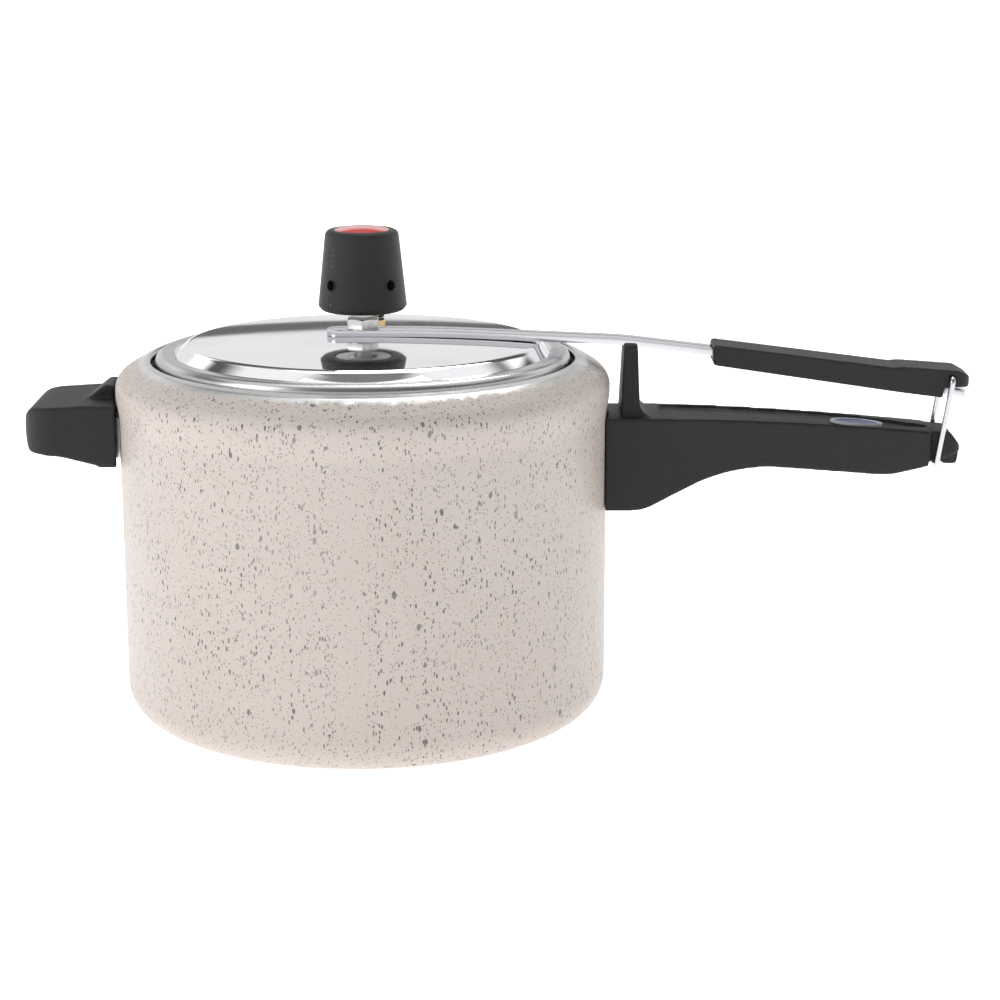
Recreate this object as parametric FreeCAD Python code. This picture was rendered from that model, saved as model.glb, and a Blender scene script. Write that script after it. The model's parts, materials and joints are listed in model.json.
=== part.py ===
import FreeCAD, Part
import math
import os
from FreeCAD import Vector

# Inner-lid stovetop pressure cooker, in millimetres.
# X runs along the long handle, Z is up, and the origin is the middle of the flat base.

# ---- pot ----
pot_radius = 101.5
pot_wall = 2.0
base_thickness = 3.0
base_corner_radius = 14.0
mouth_height = 149.8
mouth_inset_x = 13.5        # from the pot's wall in to the mouth, along the handle
mouth_inset_y = 19.5        # the same across the handle, so the mouth is oval
bulge = 1.2                 # how far the shoulder stands outside the wall
shoulder_drop = 11.8        # from the mouth down to where the wall turns in
shoulder_radius = 8.0
swell_length = 8.0          # height over which the wall swells out to the shoulder
swell_radius = 30.0
rim_slope_deg = 30.0        # rise of the rim band towards the mouth
rim_round = 6.0             # easing from the rim band to the flat lip
lip_round = 0.8

# ---- lid ----
lid_gap = 1.8               # between the lid's skirt and the mouth, on the long axis
lid_thickness = 2.2
lid_rise = 8.6              # lid centre above the mouth
lid_crown = 2.4             # how much the plateau domes
lid_ring_rise = 2.6         # ring around the plateau, above the mouth
lid_ring_width = 8.6
lid_roll_width = 4.6        # from the plateau's edge down to the groove
flange_width = 6.8
flange_drop = 6.4           # flange top below the mouth plane
gasket_width = 5.4
gasket_height = 3.0
seat_gap = 0.05             # between flat faces that rest on each other

# ---- lever bar and grip ----
bar_width = 12.0
bar_thickness = 2.6
bar_left = -15.0
bar_reach = 149.5           # bar's tip beyond the pot's wall
bar_tip_drop = 25.6         # fall of the bar from the lid to its tip
bar_flat_end = 81.0         # the bar starts to fall this far before the post
post_drop_share = 0.133     # part of the fall reached at the post
grip_drop_share = 0.328     # part of the fall reached at the grip
grip_start_reach = 43.5     # grip's start beyond the pot's wall
grip_overhang = 0.8         # grip beyond the bar's tip
grip_tip_rise = 6.15        # loop's pivot above the bar's tip
fit_gap = 0.1               # between pieces of one body that slide together

# ---- post, the lever's fulcrum ----
post_offset = 9.5           # middle of the post beyond the pot's wall
post_top_length = 5.8
post_rest_gap = 0.3
post_ear_rise = 0.9
post_ear_gap = 0.4
post_ear_width = 2.4

# ---- long handle ----
handle_tip_setback = 2.2    # handle's end short of the bar's tip
handle_root_half_width = 17.0
handle_top_drop = 23.8      # top of the handle's root below the mouth
handle_top_fall = 6.4       # fall of the top line from root to tip
handle_root_depth = 39.0
wall_gap = 0.4              # between the long handle's root and the pot's wall
handle_gap = 0.8            # between the short handle's root and the pot's shoulder
groove_depth = 1.6
groove_lip = 1.6
groove_setback = 12.5       # groove's start beyond the post, and about its end from the tip

# ---- wire loop ----
wire_radius = 1.2
loop_half_width = 12.0
loop_length = 36.3
loop_lean_deg = 8.8
loop_setback = 7.0          # loop's pivot short of the bar's tip
loop_hole_gap = 0.08
loop_foot_reach = 4.4       # how far each foot points inwards
loop_bend_radius = 1.8
foot_gap = 0.3

# ---- short handle ----
helper_length = 38.1        # beyond the pot's wall
helper_half_width = 25.0
helper_top_drop = 17.4      # top of the block below the mouth
helper_depth = 25.2
helper_corner = 13.0
helper_boss_rise = 6.6      # raised step above the block
helper_boss_half_width = 10.0
helper_belly = 3.0          # underside above the lowest lip

# ---- brackets and fasteners ----
plate_thickness = 1.8
plate_half_width = 12.0
plate_half_height = 8.5
tongue_width = 12.0
tongue_thickness = 3.0
handle_tongue_length = 36.0
helper_tongue_length = 22.0
handle_tongue_drop = 18.0   # tongue below the top of the handle's root
helper_tongue_drop = 15.4   # tongue below the top of the short handle's block
handle_belly_drop = 12.0    # underside of the handle below the tongue, at the screw
rivet_radius = 1.8
rivet_head_radius = 2.9
rivet_head_height = 1.3
rivet_spacing = 10.8
rivet_reach = 12.0          # how far rivet holes are drilled either side of the wall
screw_radius = 2.5
screw_head_radius = 4.4
screw_head_height = 2.8
washer_thickness = 0.8
washer_radius = 5.0
grip_screw_radius = 1.8
grip_screw_head_radius = 3.4
grip_screw_head_height = 2.2
grip_screw_bite = 1.6       # how far the screws reach above the bar
thread_gap = 0.05           # between a thread and the piece it holds

# ---- vent and regulator ----
tube_radius = 3.65
tube_bore = 1.5
foot_height = 2.6
seal_thickness = 1.0
nut_height = 4.0
bar_washer_thickness = 0.5
tube_rise = 20.45           # tube's mouth above the nut
weight_gap = 3.45           # between the nut and the weight
weight_height = 33.4
weight_top_radius = 15.0
weight_top_round = 2.6
weight_flare = 3.35         # how much wider the weight is at its foot
weight_wall = 3.0           # cover around the steel core, at the top
cap_rise = 1.5
cap_inset = 3.6
cap_depth = 1.2             # recess that the cap sits in
cap_stem_radius = 2.7
cover_top_wall = 2.2
steam_hole_radius = 2.25
steam_hole_rise = 11.8      # above the weight's foot
needle_radius = 2.0
needle_gap = 0.06

# ---- safety plug ----
plug_y = 52.0
plug_shank_radius = 5.0
plug_head_corners = 13.6
plug_head_height = 4.4
plug_core_radius = 2.2
plug_nut_height = 3.4

# ---- places that follow from the sizes above ----
far = 400.0                 # longer than anything in the model
mouth_half_x = pot_radius - mouth_inset_x
mouth_half_y = pot_radius - mouth_inset_y
shoulder_height = mouth_height - shoulder_drop
shoulder_max = pot_radius + bulge
oval_ratio = mouth_half_y / mouth_half_x
root_radius = shoulder_max + handle_gap

skirt_radius = mouth_half_x - lid_gap
lid_top = mouth_height + lid_rise
groove_radius = skirt_radius - lid_ring_width
plateau_radius = groove_radius - lid_roll_width
plateau_edge = lid_top - lid_crown
groove_floor = mouth_height + lid_ring_rise - 0.8
flange_top = mouth_height - flange_drop
flange_radius = skirt_radius + flange_width

bar_bottom = lid_top + seat_gap
bar_top = bar_bottom + bar_thickness
bar_tip = pot_radius + bar_reach
bar_tip_top = bar_top - bar_tip_drop
post_x = pot_radius + post_offset
grip_start = pot_radius + grip_start_reach
grip_end = bar_tip + grip_overhang

loop_pivot_x = bar_tip - loop_setback
loop_pivot_z = bar_tip_top + grip_tip_rise
nose_half_width = loop_half_width - loop_foot_reach - 1.6
grip_half_width = loop_half_width - wire_radius - 1.2
handle_nose_half_width = loop_half_width - wire_radius - 0.5
handle_tip_half_width = loop_half_width + 0.5

handle_end = bar_tip - handle_tip_setback
handle_top_root = mouth_height - handle_top_drop
handle_top_tip = handle_top_root - handle_top_fall
handle_bottom_root = handle_top_root - handle_root_depth
groove_start = post_x + groove_setback
groove_end = handle_end - groove_setback - 0.3
handle_tongue_height = handle_top_root - handle_tongue_drop

helper_reach = pot_radius + helper_length
helper_top = mouth_height - helper_top_drop
helper_bottom = helper_top - helper_depth
helper_boss_top = helper_top + helper_boss_rise
helper_tongue_height = helper_top - helper_tongue_drop

bracket_outer = pot_radius + fit_gap + plate_thickness
handle_screw_x = bracket_outer + handle_tongue_length - 10.0
helper_screw_x = -(bracket_outer + helper_tongue_length - 7.0)

thread_radius = tube_radius + 0.35
foot_radius = thread_radius + 3.0
nut_across_corners = 2 * thread_radius + 6.4
nut_bottom = bar_top + bar_washer_thickness
nut_top = nut_bottom + nut_height
tube_top = nut_top + tube_rise
weight_bottom = nut_top + weight_gap
weight_top = weight_bottom + weight_height
weight_bottom_radius = weight_top_radius + weight_flare
core_radius = weight_top_radius - weight_wall
core_bore = tube_radius + 1.35
core_top = weight_top - cover_top_wall
cap_radius = weight_top_radius - cap_inset
cap_top = weight_top + cap_rise
steam_hole_height = weight_bottom + steam_hole_rise


def rounded_path(points):
    """Edges through (x, z, radius) corners in the XZ plane, each corner rounded by its radius."""
    trims = []
    count = len(points)
    for index, (x, z, radius) in enumerate(points):
        corner = Vector(x, 0, z)
        if radius == 0:
            trims.append((corner, corner, None))
            continue
        before = Vector(points[index - 1][0], 0, points[index - 1][1]) - corner
        after_point = points[(index + 1) % count]
        after = Vector(after_point[0], 0, after_point[1]) - corner
        before.normalize()
        after.normalize()
        half_angle = before.getAngle(after) / 2
        trim = radius / math.tan(half_angle)
        bisector = before + after
        bisector.normalize()
        middle = corner + bisector * (radius / math.sin(half_angle) - radius)
        trims.append((corner + before * trim, corner + after * trim, middle))
    edges = []
    for index, (start, end, middle) in enumerate(trims):
        if middle is not None:
            edges.append(Part.Arc(start, middle, end).toShape())
        next_start = trims[(index + 1) % count][0]
        if end.distanceToPoint(next_start) > 1e-6:
            edges.append(Part.makeLine(end, next_start))
    return Part.Wire(Part.__sortEdges__(edges))


def turned(points):
    """Solid of revolution about Z of a closed half outline of (x, z, radius) corners."""
    return Part.Face(rounded_path(points)).revolve(Vector(), Vector(0, 0, 1), 360)


def slab(points, half_width):
    """Outline in the XZ plane pushed out by half_width each way along Y."""
    face = Part.Face(rounded_path(points))
    face.translate(Vector(0, -half_width, 0))
    return face.extrude(Vector(0, 2 * half_width, 0))


def plan_prism(points, low, high):
    """Prism over a plan outline of (x, y, radius) corners, from z = low to z = high."""
    wire = rounded_path(points)
    wire.rotate(Vector(), Vector(1, 0, 0), -90)
    face = Part.Face(wire)
    face.translate(Vector(0, 0, low))
    return face.extrude(Vector(0, 0, high - low))


def mirrored_plan(half):
    """Closed plan outline from its y >= 0 half, listed from the low-x end to the high-x end."""
    other = [(x, -y, radius) for x, y, radius in reversed(half)]
    return half + other


def oval(shape):
    """Squeeze a turned shape along Y to the mouth's proportion."""
    squeeze = FreeCAD.Matrix()
    squeeze.scale(1, oval_ratio, 1)
    return shape.transformGeometry(squeeze)


def upright(radius, low, high, x=0.0, y=0.0):
    return Part.makeCylinder(radius, high - low, Vector(x, y, low))


def along(direction, radius, start, length):
    return Part.makeCylinder(radius, length, start, direction)


def box(x0, x1, y0, y1, z0, z1):
    return Part.makeBox(x1 - x0, y1 - y0, z1 - z0, Vector(x0, y0, z0))


def hexagon(across_corners, low, high, x=0.0, y=0.0):
    """Hexagonal prism whose top corners are rounded off by a cone."""
    radius = across_corners / 2
    corners = [Vector(x + radius * math.cos(math.radians(60 * k)),
                      y + radius * math.sin(math.radians(60 * k)), low) for k in range(7)]
    prism = Part.Face(Part.makePolygon(corners)).extrude(Vector(0, 0, high - low))
    height = high - low
    cone = Part.makeCone(radius + 2.4 * height, radius - 1.0, height, Vector(x, y, low))
    return prism.common(cone)


def pot_outline(inset, floor, corner):
    """Half outline of the pot, moved inwards by inset, with its floor at the given height."""
    slope = math.radians(rim_slope_deg)
    wall = pot_radius - inset
    swell_end = shoulder_height - 3.0
    swell_start = swell_end - swell_length
    radius = shoulder_radius - inset
    turn = math.pi / 2 - slope
    arc_x = shoulder_max - shoulder_radius + radius * math.cos(turn)
    arc_z = shoulder_height + radius * math.sin(turn)
    side_x = shoulder_max - inset
    side_z = arc_z - (side_x - arc_x) * math.tan(slope)
    top = mouth_height - inset
    rim_x = arc_x - (top - arc_z) / math.tan(slope)
    return [
        (0, floor, 0),
        (wall, floor, corner),
        (wall, swell_start, swell_radius),
        (side_x, swell_end, swell_radius),
        (side_x, side_z, radius),
        (rim_x, top, rim_round),
        (0, top, 0),
    ]


def mouth_hole():
    ellipse = Part.Ellipse(Vector(0, 0, shoulder_height), mouth_half_x, mouth_half_y)
    face = Part.Face(Part.Wire(ellipse.toShape()))
    return face.extrude(Vector(0, 0, far))


def rivet_heights(height):
    """Heights of the two rivets, above and below a bracket's tongue."""
    return [height - rivet_spacing / 2, height + rivet_spacing / 2]


def rivet_cylinder(side, height, radius, start, length):
    """Cylinder along X through a rivet's place: side is +1 at the long handle, -1 at the short."""
    return along(Vector(side, 0, 0), radius, Vector(side * start, 0, height), length)


def pot_body():
    inner_corner = base_corner_radius - pot_wall
    shell = turned(pot_outline(0, 0, base_corner_radius))
    shell = shell.cut(turned(pot_outline(pot_wall, base_thickness, inner_corner)))
    shell = shell.cut(mouth_hole())
    lip = [edge for edge in shell.Edges
           if edge.BoundBox.ZLength < 0.01 and abs(edge.BoundBox.XLength - 2 * mouth_half_x) < 0.1]
    shell = shell.makeFillet(lip_round, lip)
    for side, height in ((1, handle_tongue_height), (-1, helper_tongue_height)):
        for z in rivet_heights(height):
            hole = rivet_cylinder(side, z, rivet_radius + fit_gap, pot_radius - rivet_reach,
                                  2 * rivet_reach)
            shell = shell.cut(hole)
    return shell


def bracket(side, height, tongue_length):
    """Curved plate against the pot wall with a tongue that reaches into the handle."""
    inner = pot_radius + fit_gap
    outer = bracket_outer
    ring = upright(outer, height - plate_half_height, height + plate_half_height)
    ring = ring.cut(upright(inner, 0, far))
    reach = side * outer
    window = box(min(0, reach * 1.1), max(0, reach * 1.1), -plate_half_width, plate_half_width,
                 0, far)
    plate = ring.common(window)
    start = side * (outer - 0.6)
    end = side * (outer + tongue_length)
    tongue = box(min(start, end), max(start, end), -tongue_width / 2, tongue_width / 2,
                 height - tongue_thickness / 2, height + tongue_thickness / 2)
    body = plate.fuse(tongue)
    for z in rivet_heights(height):
        body = body.cut(rivet_cylinder(side, z, rivet_radius + fit_gap, inner - rivet_reach,
                                       2 * rivet_reach))
    return body


def rivets(side, height):
    """Two rivets through the wall and the bracket, with a head on each side."""
    solids = []
    inside = math.sqrt((pot_radius - pot_wall) ** 2 - rivet_head_radius ** 2) - seat_gap
    outside = bracket_outer + seat_gap
    for z in rivet_heights(height):
        shank = rivet_cylinder(side, z, rivet_radius, inside - 0.1, outside - inside + 0.2)
        inner_head = rivet_cylinder(side, z, rivet_head_radius, inside - rivet_head_height,
                                    rivet_head_height)
        outer_head = rivet_cylinder(side, z, rivet_head_radius, outside, rivet_head_height)
        solids.append(shank.fuse([inner_head, outer_head]).removeSplitter())
    return Part.makeCompound(solids)


def bracket_pocket(side, height, tongue_length):
    """Space that a handle leaves for the bracket's plate, the rivet heads and the tongue."""
    outer = bracket_outer + rivet_head_height + 0.6
    ring = upright(outer, height - plate_half_height - 1, height + plate_half_height + 1)
    reach = side * outer
    ring = ring.common(box(min(0, reach), max(0, reach), -plate_half_width - 1.5,
                           plate_half_width + 1.5, 0, far))
    start = side * (outer - 4)
    end = side * (pot_radius + plate_thickness + tongue_length + 2)
    slot = box(min(start, end), max(start, end), -tongue_width / 2 - fit_gap,
               tongue_width / 2 + fit_gap, height - tongue_thickness / 2 - fit_gap,
               height + tongue_thickness / 2 + fit_gap)
    return ring.fuse(slot)


def bar_height(x):
    """Height of the bar's top face at x, on the straight runs between its bends."""
    bends = bar_bends()
    for (x0, z0, _), (x1, z1, _) in zip(bends, bends[1:]):
        if x <= x1:
            return z0 + (z1 - z0) * (x - x0) / (x1 - x0)
    return bends[-1][1]


def bar_bends():
    """Top line of the bar: flat over the lid, easing down past the post and along the grip."""
    return [
        (bar_left, bar_top, 0),
        (post_x - bar_flat_end, bar_top, 700.0),
        (post_x - 3, bar_top - post_drop_share * bar_tip_drop, 160.0),
        (grip_start + 5, bar_top - grip_drop_share * bar_tip_drop, 300.0),
        (bar_tip, bar_tip_top, 0),
    ]


def bar_strip(margin, half_width):
    """The bar's solid, grown by margin above and below and with the given half width."""
    top = [(x, z + margin, radius) for x, z, radius in bar_bends()]
    under = bar_thickness + 2 * margin
    bottom = [(x, z - under, radius) for x, z, radius in reversed(top)]
    return slab(top + bottom, half_width)


def lid_bar():
    bar = bar_strip(0, bar_width / 2)
    rounded = plan_prism([
        (bar_left, -bar_width / 2, 5.5),
        (bar_tip, -bar_width / 2, 2.0),
        (bar_tip, bar_width / 2, 2.0),
        (bar_left, bar_width / 2, 5.5),
    ], 0, far)
    bar = bar.common(rounded)
    bar = bar.cut(upright(thread_radius + fit_gap, bar_bottom - 5, bar_top + 5))
    for x in grip_screw_places():
        bar = bar.cut(upright(grip_screw_radius + fit_gap, 0, far, x))
    return bar


def grip_screw_places():
    length = grip_end - grip_start
    return [grip_start + 0.2 * length, grip_start + 0.68 * length]


def lid_grip():
    """Handle moulded round the bar: it thickens towards a hooked tip."""
    tip_rise = loop_pivot_z - bar_height(loop_pivot_x)
    outline = [
        (grip_start, bar_height(grip_start) + 2.4, 1.6),
        (grip_end - 32, bar_height(grip_end - 32) + 5.4, 6.0),
        (grip_end - 28, bar_height(grip_end - 28) + 6.4, 8.0),
        (grip_end - 5, loop_pivot_z + 3.2, 4.0),
        (grip_end, loop_pivot_z + 0.6, 1.5),
        (grip_end, loop_pivot_z - tip_rise + 1.0, 1.0),
        (loop_pivot_x - 3.0, loop_pivot_z - tip_rise + 1.4, 1.0),
        (loop_pivot_x - 3.5, bar_height(loop_pivot_x - 3.5) - bar_thickness - 1.2, 0.8),
        (grip_start + 78, bar_height(grip_start + 78) - bar_thickness - 2.0, 60.0),
        (grip_start, bar_height(grip_start) - bar_thickness - 3.6, 1.6),
    ]
    grip = slab(outline, grip_half_width)
    plan = plan_prism([
        (grip_start - 0.01, -grip_half_width + 0.6, 1.2),
        (grip_end + 0.01, -grip_half_width, 5.0),
        (grip_end + 0.01, grip_half_width, 5.0),
        (grip_start - 0.01, grip_half_width - 0.6, 1.2),
    ], 0, far)
    grip = grip.common(plan)
    grip = grip.cut(bar_strip(fit_gap, bar_width / 2 + fit_gap))
    pivot = Vector(loop_pivot_x, -far / 2, loop_pivot_z)
    grip = grip.cut(along(Vector(0, 1, 0), wire_radius + loop_hole_gap, pivot, far))
    for x in grip_screw_places():
        under = bar_height(x) - bar_thickness
        grip = grip.cut(upright(grip_screw_head_radius + 0.3, 0, under, x))
        grip = grip.cut(upright(grip_screw_radius + fit_gap, under, bar_height(x) + grip_screw_bite + 0.2,
                                x))
    return grip


def grip_screws():
    """Two pan-head screws that pass up through the bar into the grip."""
    solids = []
    for x in grip_screw_places():
        slope = 0.17 * (grip_screw_head_radius + 0.2)
        seat = bar_height(x) - bar_thickness - slope
        head = turned([
            (0, seat - grip_screw_head_height, 0),
            (grip_screw_head_radius, seat - grip_screw_head_height, 1.0),
            (grip_screw_head_radius, seat, 0),
            (0, seat, 0),
        ])
        head.translate(Vector(x, 0, 0))
        slot = box(x - 2.4, x + 2.4, -0.5, 0.5, 0, seat - grip_screw_head_height + 1.0)
        shank = upright(grip_screw_radius, seat - 0.1, bar_height(x) + grip_screw_bite, x)
        solids.append(head.cut(slot).fuse(shank).removeSplitter())
    return Part.makeCompound(solids)


def lid_plate():
    """Oval pressed plate: domed plateau, roll-down, groove, outer ring, skirt and hidden flange."""
    crown_turn = 2 * math.atan(lid_crown / plateau_radius)
    crown_radius = plateau_radius / 2 / math.tan(crown_turn / 2) * 0.92
    half = plateau_radius / 2
    ring_top = mouth_height + lid_ring_rise
    inner = skirt_radius - lid_thickness
    flange_bottom = flange_top - lid_thickness + 0.2
    outline = [
        (0, lid_top, 0),
        (half, lid_top, crown_radius),
        (plateau_radius, plateau_edge, 5.0),
        (groove_radius, groove_floor, 0.5),
        (groove_radius + 1.6, ring_top + 0.1, 1.2),
        (skirt_radius, ring_top - 0.3, 3.6),
        (skirt_radius, flange_top, 0),
        (flange_radius, flange_top, 0),
        (flange_radius, flange_bottom, 0.6),
        (inner, flange_bottom, 1.0),
        (inner, groove_floor - lid_thickness, 1.6),
        (groove_radius - 1.2, groove_floor - lid_thickness, 2.0),
        (plateau_radius - 1.2, plateau_edge - lid_thickness, 3.0),
        (half, lid_top - lid_thickness, crown_radius),
        (0, lid_top - lid_thickness, 0),
    ]
    plate = oval(turned(outline))
    plate = plate.cut(upright(thread_radius + fit_gap, 0, far))
    return plate.cut(upright(plug_shank_radius + fit_gap, 0, far, 0, plug_y))


def lid_gasket():
    start = skirt_radius + 0.4
    low = flange_top + 0.02
    top = low + gasket_height
    return oval(turned([
        (start, low, 0.5),
        (start + gasket_width, low, 0.5),
        (start + gasket_width, top, 1.4),
        (start, top, 1.4),
    ]))


def vent_tube():
    """Turned tube: foot under the lid, thread through lid and bar, neck up into the weight."""
    foot_top = lid_top - lid_thickness - seal_thickness - 0.1
    return turned([
        (tube_bore, foot_top - foot_height, 0),
        (foot_radius, foot_top - foot_height, 0.8),
        (foot_radius, foot_top, 0),
        (thread_radius, foot_top, 0),
        (thread_radius, nut_top + 0.3, 0),
        (tube_radius, nut_top + 0.6, 0),
        (tube_radius, tube_top - 1.2, 0),
        (tube_radius - 1.0, tube_top, 0),
        (tube_bore + 0.5, tube_top, 0),
        (tube_bore, tube_top - 1.0, 0),
    ])


def flat_ring(inner, outer, low, high, x=0.0, y=0.0):
    return upright(outer, low, high, x, y).cut(upright(inner, low - 1, high + 1, x, y))


def vent_seal_washer():
    top = lid_top - lid_thickness - 0.08
    return flat_ring(thread_radius + fit_gap, foot_radius - 0.6, top - seal_thickness, top)


def bar_washer():
    return flat_ring(thread_radius + fit_gap, nut_across_corners / 2 - 0.4, bar_top, nut_bottom)


def vent_nut():
    nut = hexagon(nut_across_corners, nut_bottom, nut_top)
    nut.rotate(Vector(), Vector(0, 0, 1), 30)
    return nut.cut(upright(thread_radius + thread_gap, 0, far))


def plug_seat():
    """Highest point of the lid under the safety plug's head, and lowest under its nut."""
    reach = plug_head_corners / 2
    inner = (plug_y - reach) / oval_ratio / plateau_radius
    outer = (plug_y + reach) / oval_ratio / plateau_radius
    high = lid_top - lid_crown * inner ** 2 + seat_gap
    low = lid_top - lid_crown * outer ** 2 - lid_thickness - seat_gap
    return high, low


def safety_valve_body():
    high, low = plug_seat()
    seat = high + seal_thickness
    head = hexagon(plug_head_corners, seat, seat + plug_head_height, 0, plug_y)
    shank = upright(plug_shank_radius, low - 6.0, seat + 0.1, 0, plug_y)
    body = head.fuse(shank).removeSplitter()
    return body.cut(upright(plug_core_radius + thread_gap, 0, far, 0, plug_y))


def safety_valve_plug():
    high, low = plug_seat()
    return upright(plug_core_radius, low - 5.4, high + seal_thickness + plug_head_height - 0.6,
                   0, plug_y)


def safety_valve_seal():
    high, _ = plug_seat()
    return flat_ring(plug_shank_radius + 0.1, plug_head_corners / 2 - 0.5,
                     high, high + seal_thickness, 0, plug_y)


def safety_valve_nut():
    _, low = plug_seat()
    nut = hexagon(plug_head_corners, low - plug_nut_height, low, 0, plug_y)
    return nut.cut(upright(plug_shank_radius + thread_gap, 0, far, 0, plug_y))


def handle_half_width(x):
    """Half width of the long handle, easing from its root to its tip."""
    share = min(max((x - post_x - 12) / (handle_end - 12 - post_x - 12), 0), 1)
    return handle_root_half_width + (handle_tip_half_width - handle_root_half_width) * share ** 0.8


def handle_top(x):
    """Height of the long handle's top line at x."""
    share = min(max((x - groove_start) / (groove_end - groove_start), 0), 1)
    return handle_top_root + (handle_top_tip - handle_top_root) * share ** 1.6


def top_line(drop, steps):
    """Points of the handle's top line between the ends of the groove, lowered by drop."""
    span = groove_end - groove_start
    places = [groove_start + span * k / steps for k in range(steps + 1)]
    return [(x, handle_top(x) - drop, 0) for x in places]


def handle_side_outline():
    """Side view of the long handle, from its top root round the end and back along the belly."""
    ledge = loop_foot_height() + wire_radius + foot_gap
    top = [(x, z, 0 if k in (0, 8) else 250.0) for k, (x, z, _) in enumerate(top_line(0, 8))]
    return [(0, handle_top_root, 0)] + top + [
        (handle_end - 4.5, handle_top_tip - 0.7, 2.5),
        (handle_end, handle_top_tip - 6.5, 4.0),
        (handle_end - 0.6, ledge - 2.6, 1.6),
        (handle_end - 6.2, ledge - 2.6, 1.2),
        (handle_end - 8.2, ledge - 1.0, 1.2),
        (handle_end - 30, ledge - 6.0, 26.0),
        (handle_end - 84, ledge - 1.6, 60.0),
        (post_x + 34, ledge - 5.2, 70.0),
        (post_x + 5, handle_bottom_root, 18.0),
        (0, handle_bottom_root, 0),
    ]


def handle_plan():
    """Plan view of the long handle, with the narrow nose that the wire loop hangs round."""
    steps = 5
    start = post_x + 12
    end = nose_shoulder()
    sides = []
    for k in range(steps + 1):
        x = start + (end - start) * k / steps
        sides.append((x, handle_half_width(x), 0 if k == steps else 120.0))
    half = [(0, handle_root_half_width, 0)] + sides + [
        (end + 0.6, handle_nose_half_width, 0),
        (handle_end, handle_nose_half_width, 4.0),
    ]
    return mirrored_plan(half)


def nose_shoulder():
    """Where the handle steps in to let the loop's legs pass."""
    return loop_foot_x() - wire_radius - 1.4


def loop_foot_x():
    return loop_pivot_x - loop_length * math.sin(math.radians(loop_lean_deg))


def loop_foot_height():
    return loop_pivot_z - loop_length * math.cos(math.radians(loop_lean_deg))


def foot_relief():
    """Space under the nose, either side of its middle, for the loop's feet and their way out."""
    ledge = loop_foot_height() + wire_radius + foot_gap
    room = slab([
        (nose_shoulder() - 0.5, 0, 0),
        (nose_shoulder() - 0.5, ledge, 0.8),
        (loop_foot_x() + 2.0, ledge, 6.0),
        (handle_end + 2, ledge + 4.2, 0),
        (handle_end + 2, 0, 0),
    ], far)
    return room.cut(box(0, far, -nose_half_width, nose_half_width, 0, far))


def handle_groove():
    """Shallow recess along the handle's top, inside a thin lip."""
    floor = top_line(groove_depth, 4)
    above = [(groove_end, far, 0), (groove_start, far, 0)]
    room = slab(floor + above, far / 2)
    half = [(groove_start, handle_half_width(groove_start) - groove_lip, 6.0)]
    half += [(groove_start + 40, handle_half_width(groove_start + 40) - groove_lip, 0)]
    half += [(groove_end - 34, handle_half_width(groove_end - 34) - groove_lip, 80.0)]
    half += [(groove_end, 1.5, 0)]
    return room.common(plan_prism(mirrored_plan(half), 0, far))


def post():
    """Upright web that the bar rocks on, with an ear on each side of the bar."""
    rest = bar_height(post_x) - bar_thickness - post_rest_gap
    ear_top = bar_height(post_x) - bar_thickness + post_ear_rise
    half_length = post_top_length / 2
    web = slab([
        (post_x - half_length - 1.4, handle_top_root - 6, 0),
        (post_x - half_length, ear_top, 0.8),
        (post_x + half_length, ear_top, 0.8),
        (post_x + half_length + 1.0, handle_top_root + 2.4, 6.0),
        (post_x + half_length + 6.0, handle_top_root - 0.2, 0),
        (post_x + half_length + 6.0, handle_top_root - 6, 0),
    ], far / 2)
    top_half = bar_width / 2 + post_ear_gap + post_ear_width
    taper = Part.Face(Part.makePolygon([
        Vector(0, -handle_root_half_width + 2.5, handle_top_root - 6),
        Vector(0, -top_half, ear_top),
        Vector(0, top_half, ear_top),
        Vector(0, handle_root_half_width - 2.5, handle_top_root - 6),
        Vector(0, -handle_root_half_width + 2.5, handle_top_root - 6),
    ])).extrude(Vector(far, 0, 0))
    web = web.common(taper)
    saddle = slab([
        (post_x - half_length - 2, rest - 0.8, 0),
        (post_x, rest, 4.0),
        (post_x + half_length + 2, rest - 1.6, 0),
        (post_x + half_length + 2, far, 0),
        (post_x - half_length - 2, far, 0),
    ], bar_width / 2 + post_ear_gap)
    return web.cut(saddle)


def screw_seat(belly):
    """Height of the washer's seat in the handle's underside."""
    return belly + screw_head_height + washer_thickness + 1.6


def handle_screw_seat():
    return screw_seat(handle_tongue_height - handle_belly_drop)


def helper_screw_seat():
    return screw_seat(helper_bottom + helper_belly)


def handle_screw_cut(x, seat, tongue_height):
    """Counterbore for the head and washer, and the clearance hole up to past the tongue."""
    bore = upright(washer_radius + 0.3, 0, seat, x)
    hole = upright(screw_radius + fit_gap, seat - 1, tongue_height + 5.0, x)
    return bore.fuse(hole)


def body_handle():
    handle = slab(handle_side_outline(), handle_root_half_width)
    handle = handle.common(plan_prism(handle_plan(), 0, far))
    handle = handle.cut(handle_groove())
    handle = handle.fuse(post()).removeSplitter()
    handle = handle.cut(foot_relief())
    handle = handle.cut(upright(pot_radius + wall_gap, 0, far))
    handle = handle.cut(bracket_pocket(1, handle_tongue_height, handle_tongue_length))
    return handle.cut(handle_screw_cut(handle_screw_x, handle_screw_seat(), handle_tongue_height))


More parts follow.
